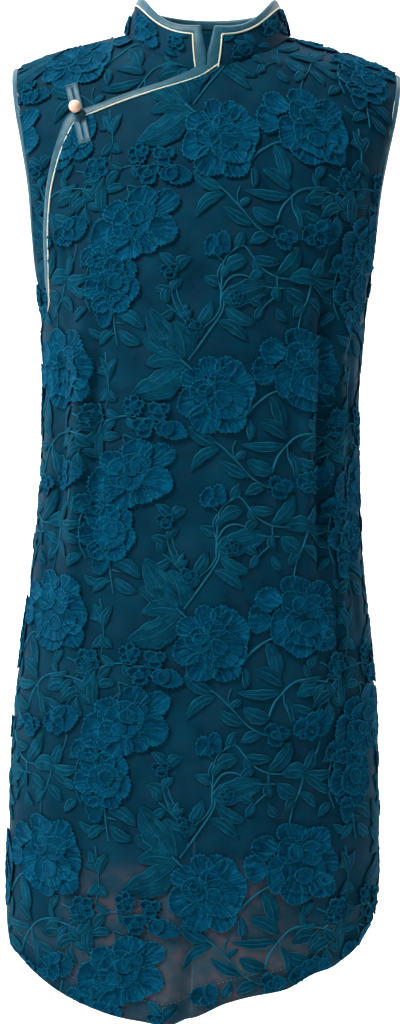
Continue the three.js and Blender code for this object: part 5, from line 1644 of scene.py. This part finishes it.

# ---- a scatter of the same motifs on the collar ----
def collar_lay(pos):
    return collar_point(pos[:, 0] / 1.22, pos[:, 1] / COLLAR_HEIGHT)


def collar_inside(pos):
    return (pos[:, 1] > 1.0) & (pos[:, 1] < SEAM_UP * COLLAR_HEIGHT - 1.2) & (pos[:, 0] > (COLLAR_IN + 1.5) * 1.22) & (pos[:, 0] < (360 - COLLAR_IN - 1.5) * 1.22)


def collar_clamp(pos):
    return np.stack([np.clip(pos[:, 0], (COLLAR_IN + 1.5) * 1.22, (360 - COLLAR_IN - 1.5) * 1.22),
                     np.clip(pos[:, 1], 1.0, SEAM_UP * COLLAR_HEIGHT - 1.2)], 1)


collar_relief = Relief(1, collar_inside, collar_clamp, collar_lay)
for cx, cy, r in ((66, 21, 13), (381, 14, 17), (120, 9, 15), (176, 20, 14), (238, 9, 15), (296, 20, 14), (340, 10, 13), (30, 9, 10), (412, 18, 9), (92, 24, 9), (206, 22, 9), (266, 10, 10)):
    for px, py, rx, ry, rot, scallops, layer in ragged(r) + [(-0.5 * r, 0.5 * r, 0.5 * r, 0.4 * r, 30, 3, 0)]:
        add_petal(collar_relief, (cx, cy), (px, py), rx, ry, rot, scallops, layer, (0, 0))
for x0, y0, x1, y1, w in ((42, 8, 24, 24, 8), (44, 10, 34, 28, 8), (46, 8, 58, 2, 6), (14, 24, 26, 29, 7), (78, 12, 96, 4, 7), (100, 26, 92, 12, 8), (142, 6, 160, 16, 8), (144, 24, 158, 30, 7),
                           (196, 12, 214, 4, 8), (208, 14, 198, 6, 7), (256, 24, 276, 30, 8), (264, 22, 256, 8, 7), (316, 26, 330, 26, 8), (318, 10, 304, 6, 7), (358, 26, 366, 10, 7),
                           (400, 6, 414, 4, 8), (404, 26, 422, 28, 8), (424, 8, 428, 24, 7), (16, 4, 14, 18, 6)):
    add_leaf(collar_relief, (0, 0), (x0 / UNIT, y0 / UNIT), (x1 / UNIT, y1 / UNIT), w, 1)
dress(collar_relief.make("collar_motifs"), FLOWER, "jacquard")

# =====================================================================================
# Camera and stage
# =====================================================================================
cam_data = bpy.data.cameras.new("camera")
cam_data.sensor_width = 36
cam_data.lens = 1633 / 1024 * 36
cam = bpy.data.objects.new("camera", cam_data)
bpy.context.scene.collection.objects.link(cam)
cam.matrix_world = Matrix.Translation((0.0010, -1.6, -0.466)) @ Matrix.Rotation(math.radians(90), 4, "X") @ Matrix.Rotation(math.radians(1.007), 4, "Z")
bpy.context.scene.camera = cam


def backdrop():
    """A pale floor that sweeps up behind into a wall."""
    floor_z, back_y, radius, top = -1.32, 2.6, 1.2, 3.2
    profile = [(-6.0, floor_z), (back_y - radius, floor_z)]
    for k in range(1, 17):
        a = k / 16 * math.pi / 2
        profile.append((back_y - radius + radius * math.sin(a), floor_z + radius - radius * math.cos(a)))
    profile.append((back_y, top))
    verts, faces = [], []
    for y, z in profile:
        verts += [(-6, y, z), (6, y, z)]
    for k in range(len(profile) - 1):
        faces.append((2 * k, 2 * k + 1, 2 * k + 3, 2 * k + 2))
    mesh = bpy.data.meshes.new("floor")
    mesh.from_pydata(verts, [], faces)
    mesh.polygons.foreach_set("use_smooth", [True] * len(faces))
    obj = bpy.data.objects.new("floor", mesh)
    bpy.context.scene.collection.objects.link(obj)
    mat, nodes, links, shader = material("pale_floor")
    shader.inputs["Base Color"].default_value = (0.9, 0.9, 0.9, 1)
    shader.inputs["Roughness"].default_value = 0.9
    shader.inputs["Specular IOR Level"].default_value = 0.1
    # its far side is clear, so that the back and the underside of the garment can be seen past it
    facing = nodes.new("ShaderNodeNewGeometry")
    clear = nodes.new("ShaderNodeBsdfTransparent")
    both = nodes.new("ShaderNodeMixShader")
    links.new(facing.outputs["Backfacing"], both.inputs[0])
    links.new(shader.outputs[0], both.inputs[1])
    links.new(clear.outputs[0], both.inputs[2])
    out = next(n for n in nodes if n.type == "OUTPUT_MATERIAL")
    links.new(both.outputs[0], out.inputs["Surface"])
    mesh.materials.append(mat)
    return obj


backdrop()


def area_light(name, place, aim, size, power, colour=(1, 1, 1)):
    data = bpy.data.lights.new(name, "AREA")
    data.shape, data.size, data.size_y = "RECTANGLE", size[0], size[1]
    data.energy, data.color = power, colour
    obj = bpy.data.objects.new(name, data)
    obj.location = place
    obj.rotation_mode = "QUATERNION"
    obj.rotation_quaternion = (Vector(aim) - Vector(place)).to_track_quat("-Z", "Y")
    bpy.context.scene.collection.objects.link(obj)


area_light("key", (-1.4, -1.35, 1.75), (0, 0, -0.5), (0.5, 0.5), 104)
area_light("side_left", (-2.0, -0.35, -0.15), (-0.1, 0, -0.55), (0.5, 1.3), 13)
area_light("fill", (0.9, -3.0, 0.1), (0, 0, -0.5), (1.8, 2.4), 4)
area_light("wall_left", (-1.7, 0.9, 0.6), (-0.4, 2.6, -0.6), (1.4, 1.8), 74)
area_light("wall_right", (1.7, 0.9, 0.6), (0.4, 2.6, -0.6), (1.4, 1.8), 70)
area_light("floor_light", (0, 0.9, 1.9), (0, 0.6, -1.3), (2.4, 1.2), 48)

world = bpy.data.worlds.new("studio")
bpy.context.scene.world = world
world.use_nodes = True
background = world.node_tree.nodes.get("Background") or world.node_tree.nodes.new("ShaderNodeBackground")
background.inputs[0].default_value = (1, 1, 1, 1)
background.inputs[1].default_value = 0.24
bpy.context.scene.view_settings.view_transform = "Standard"
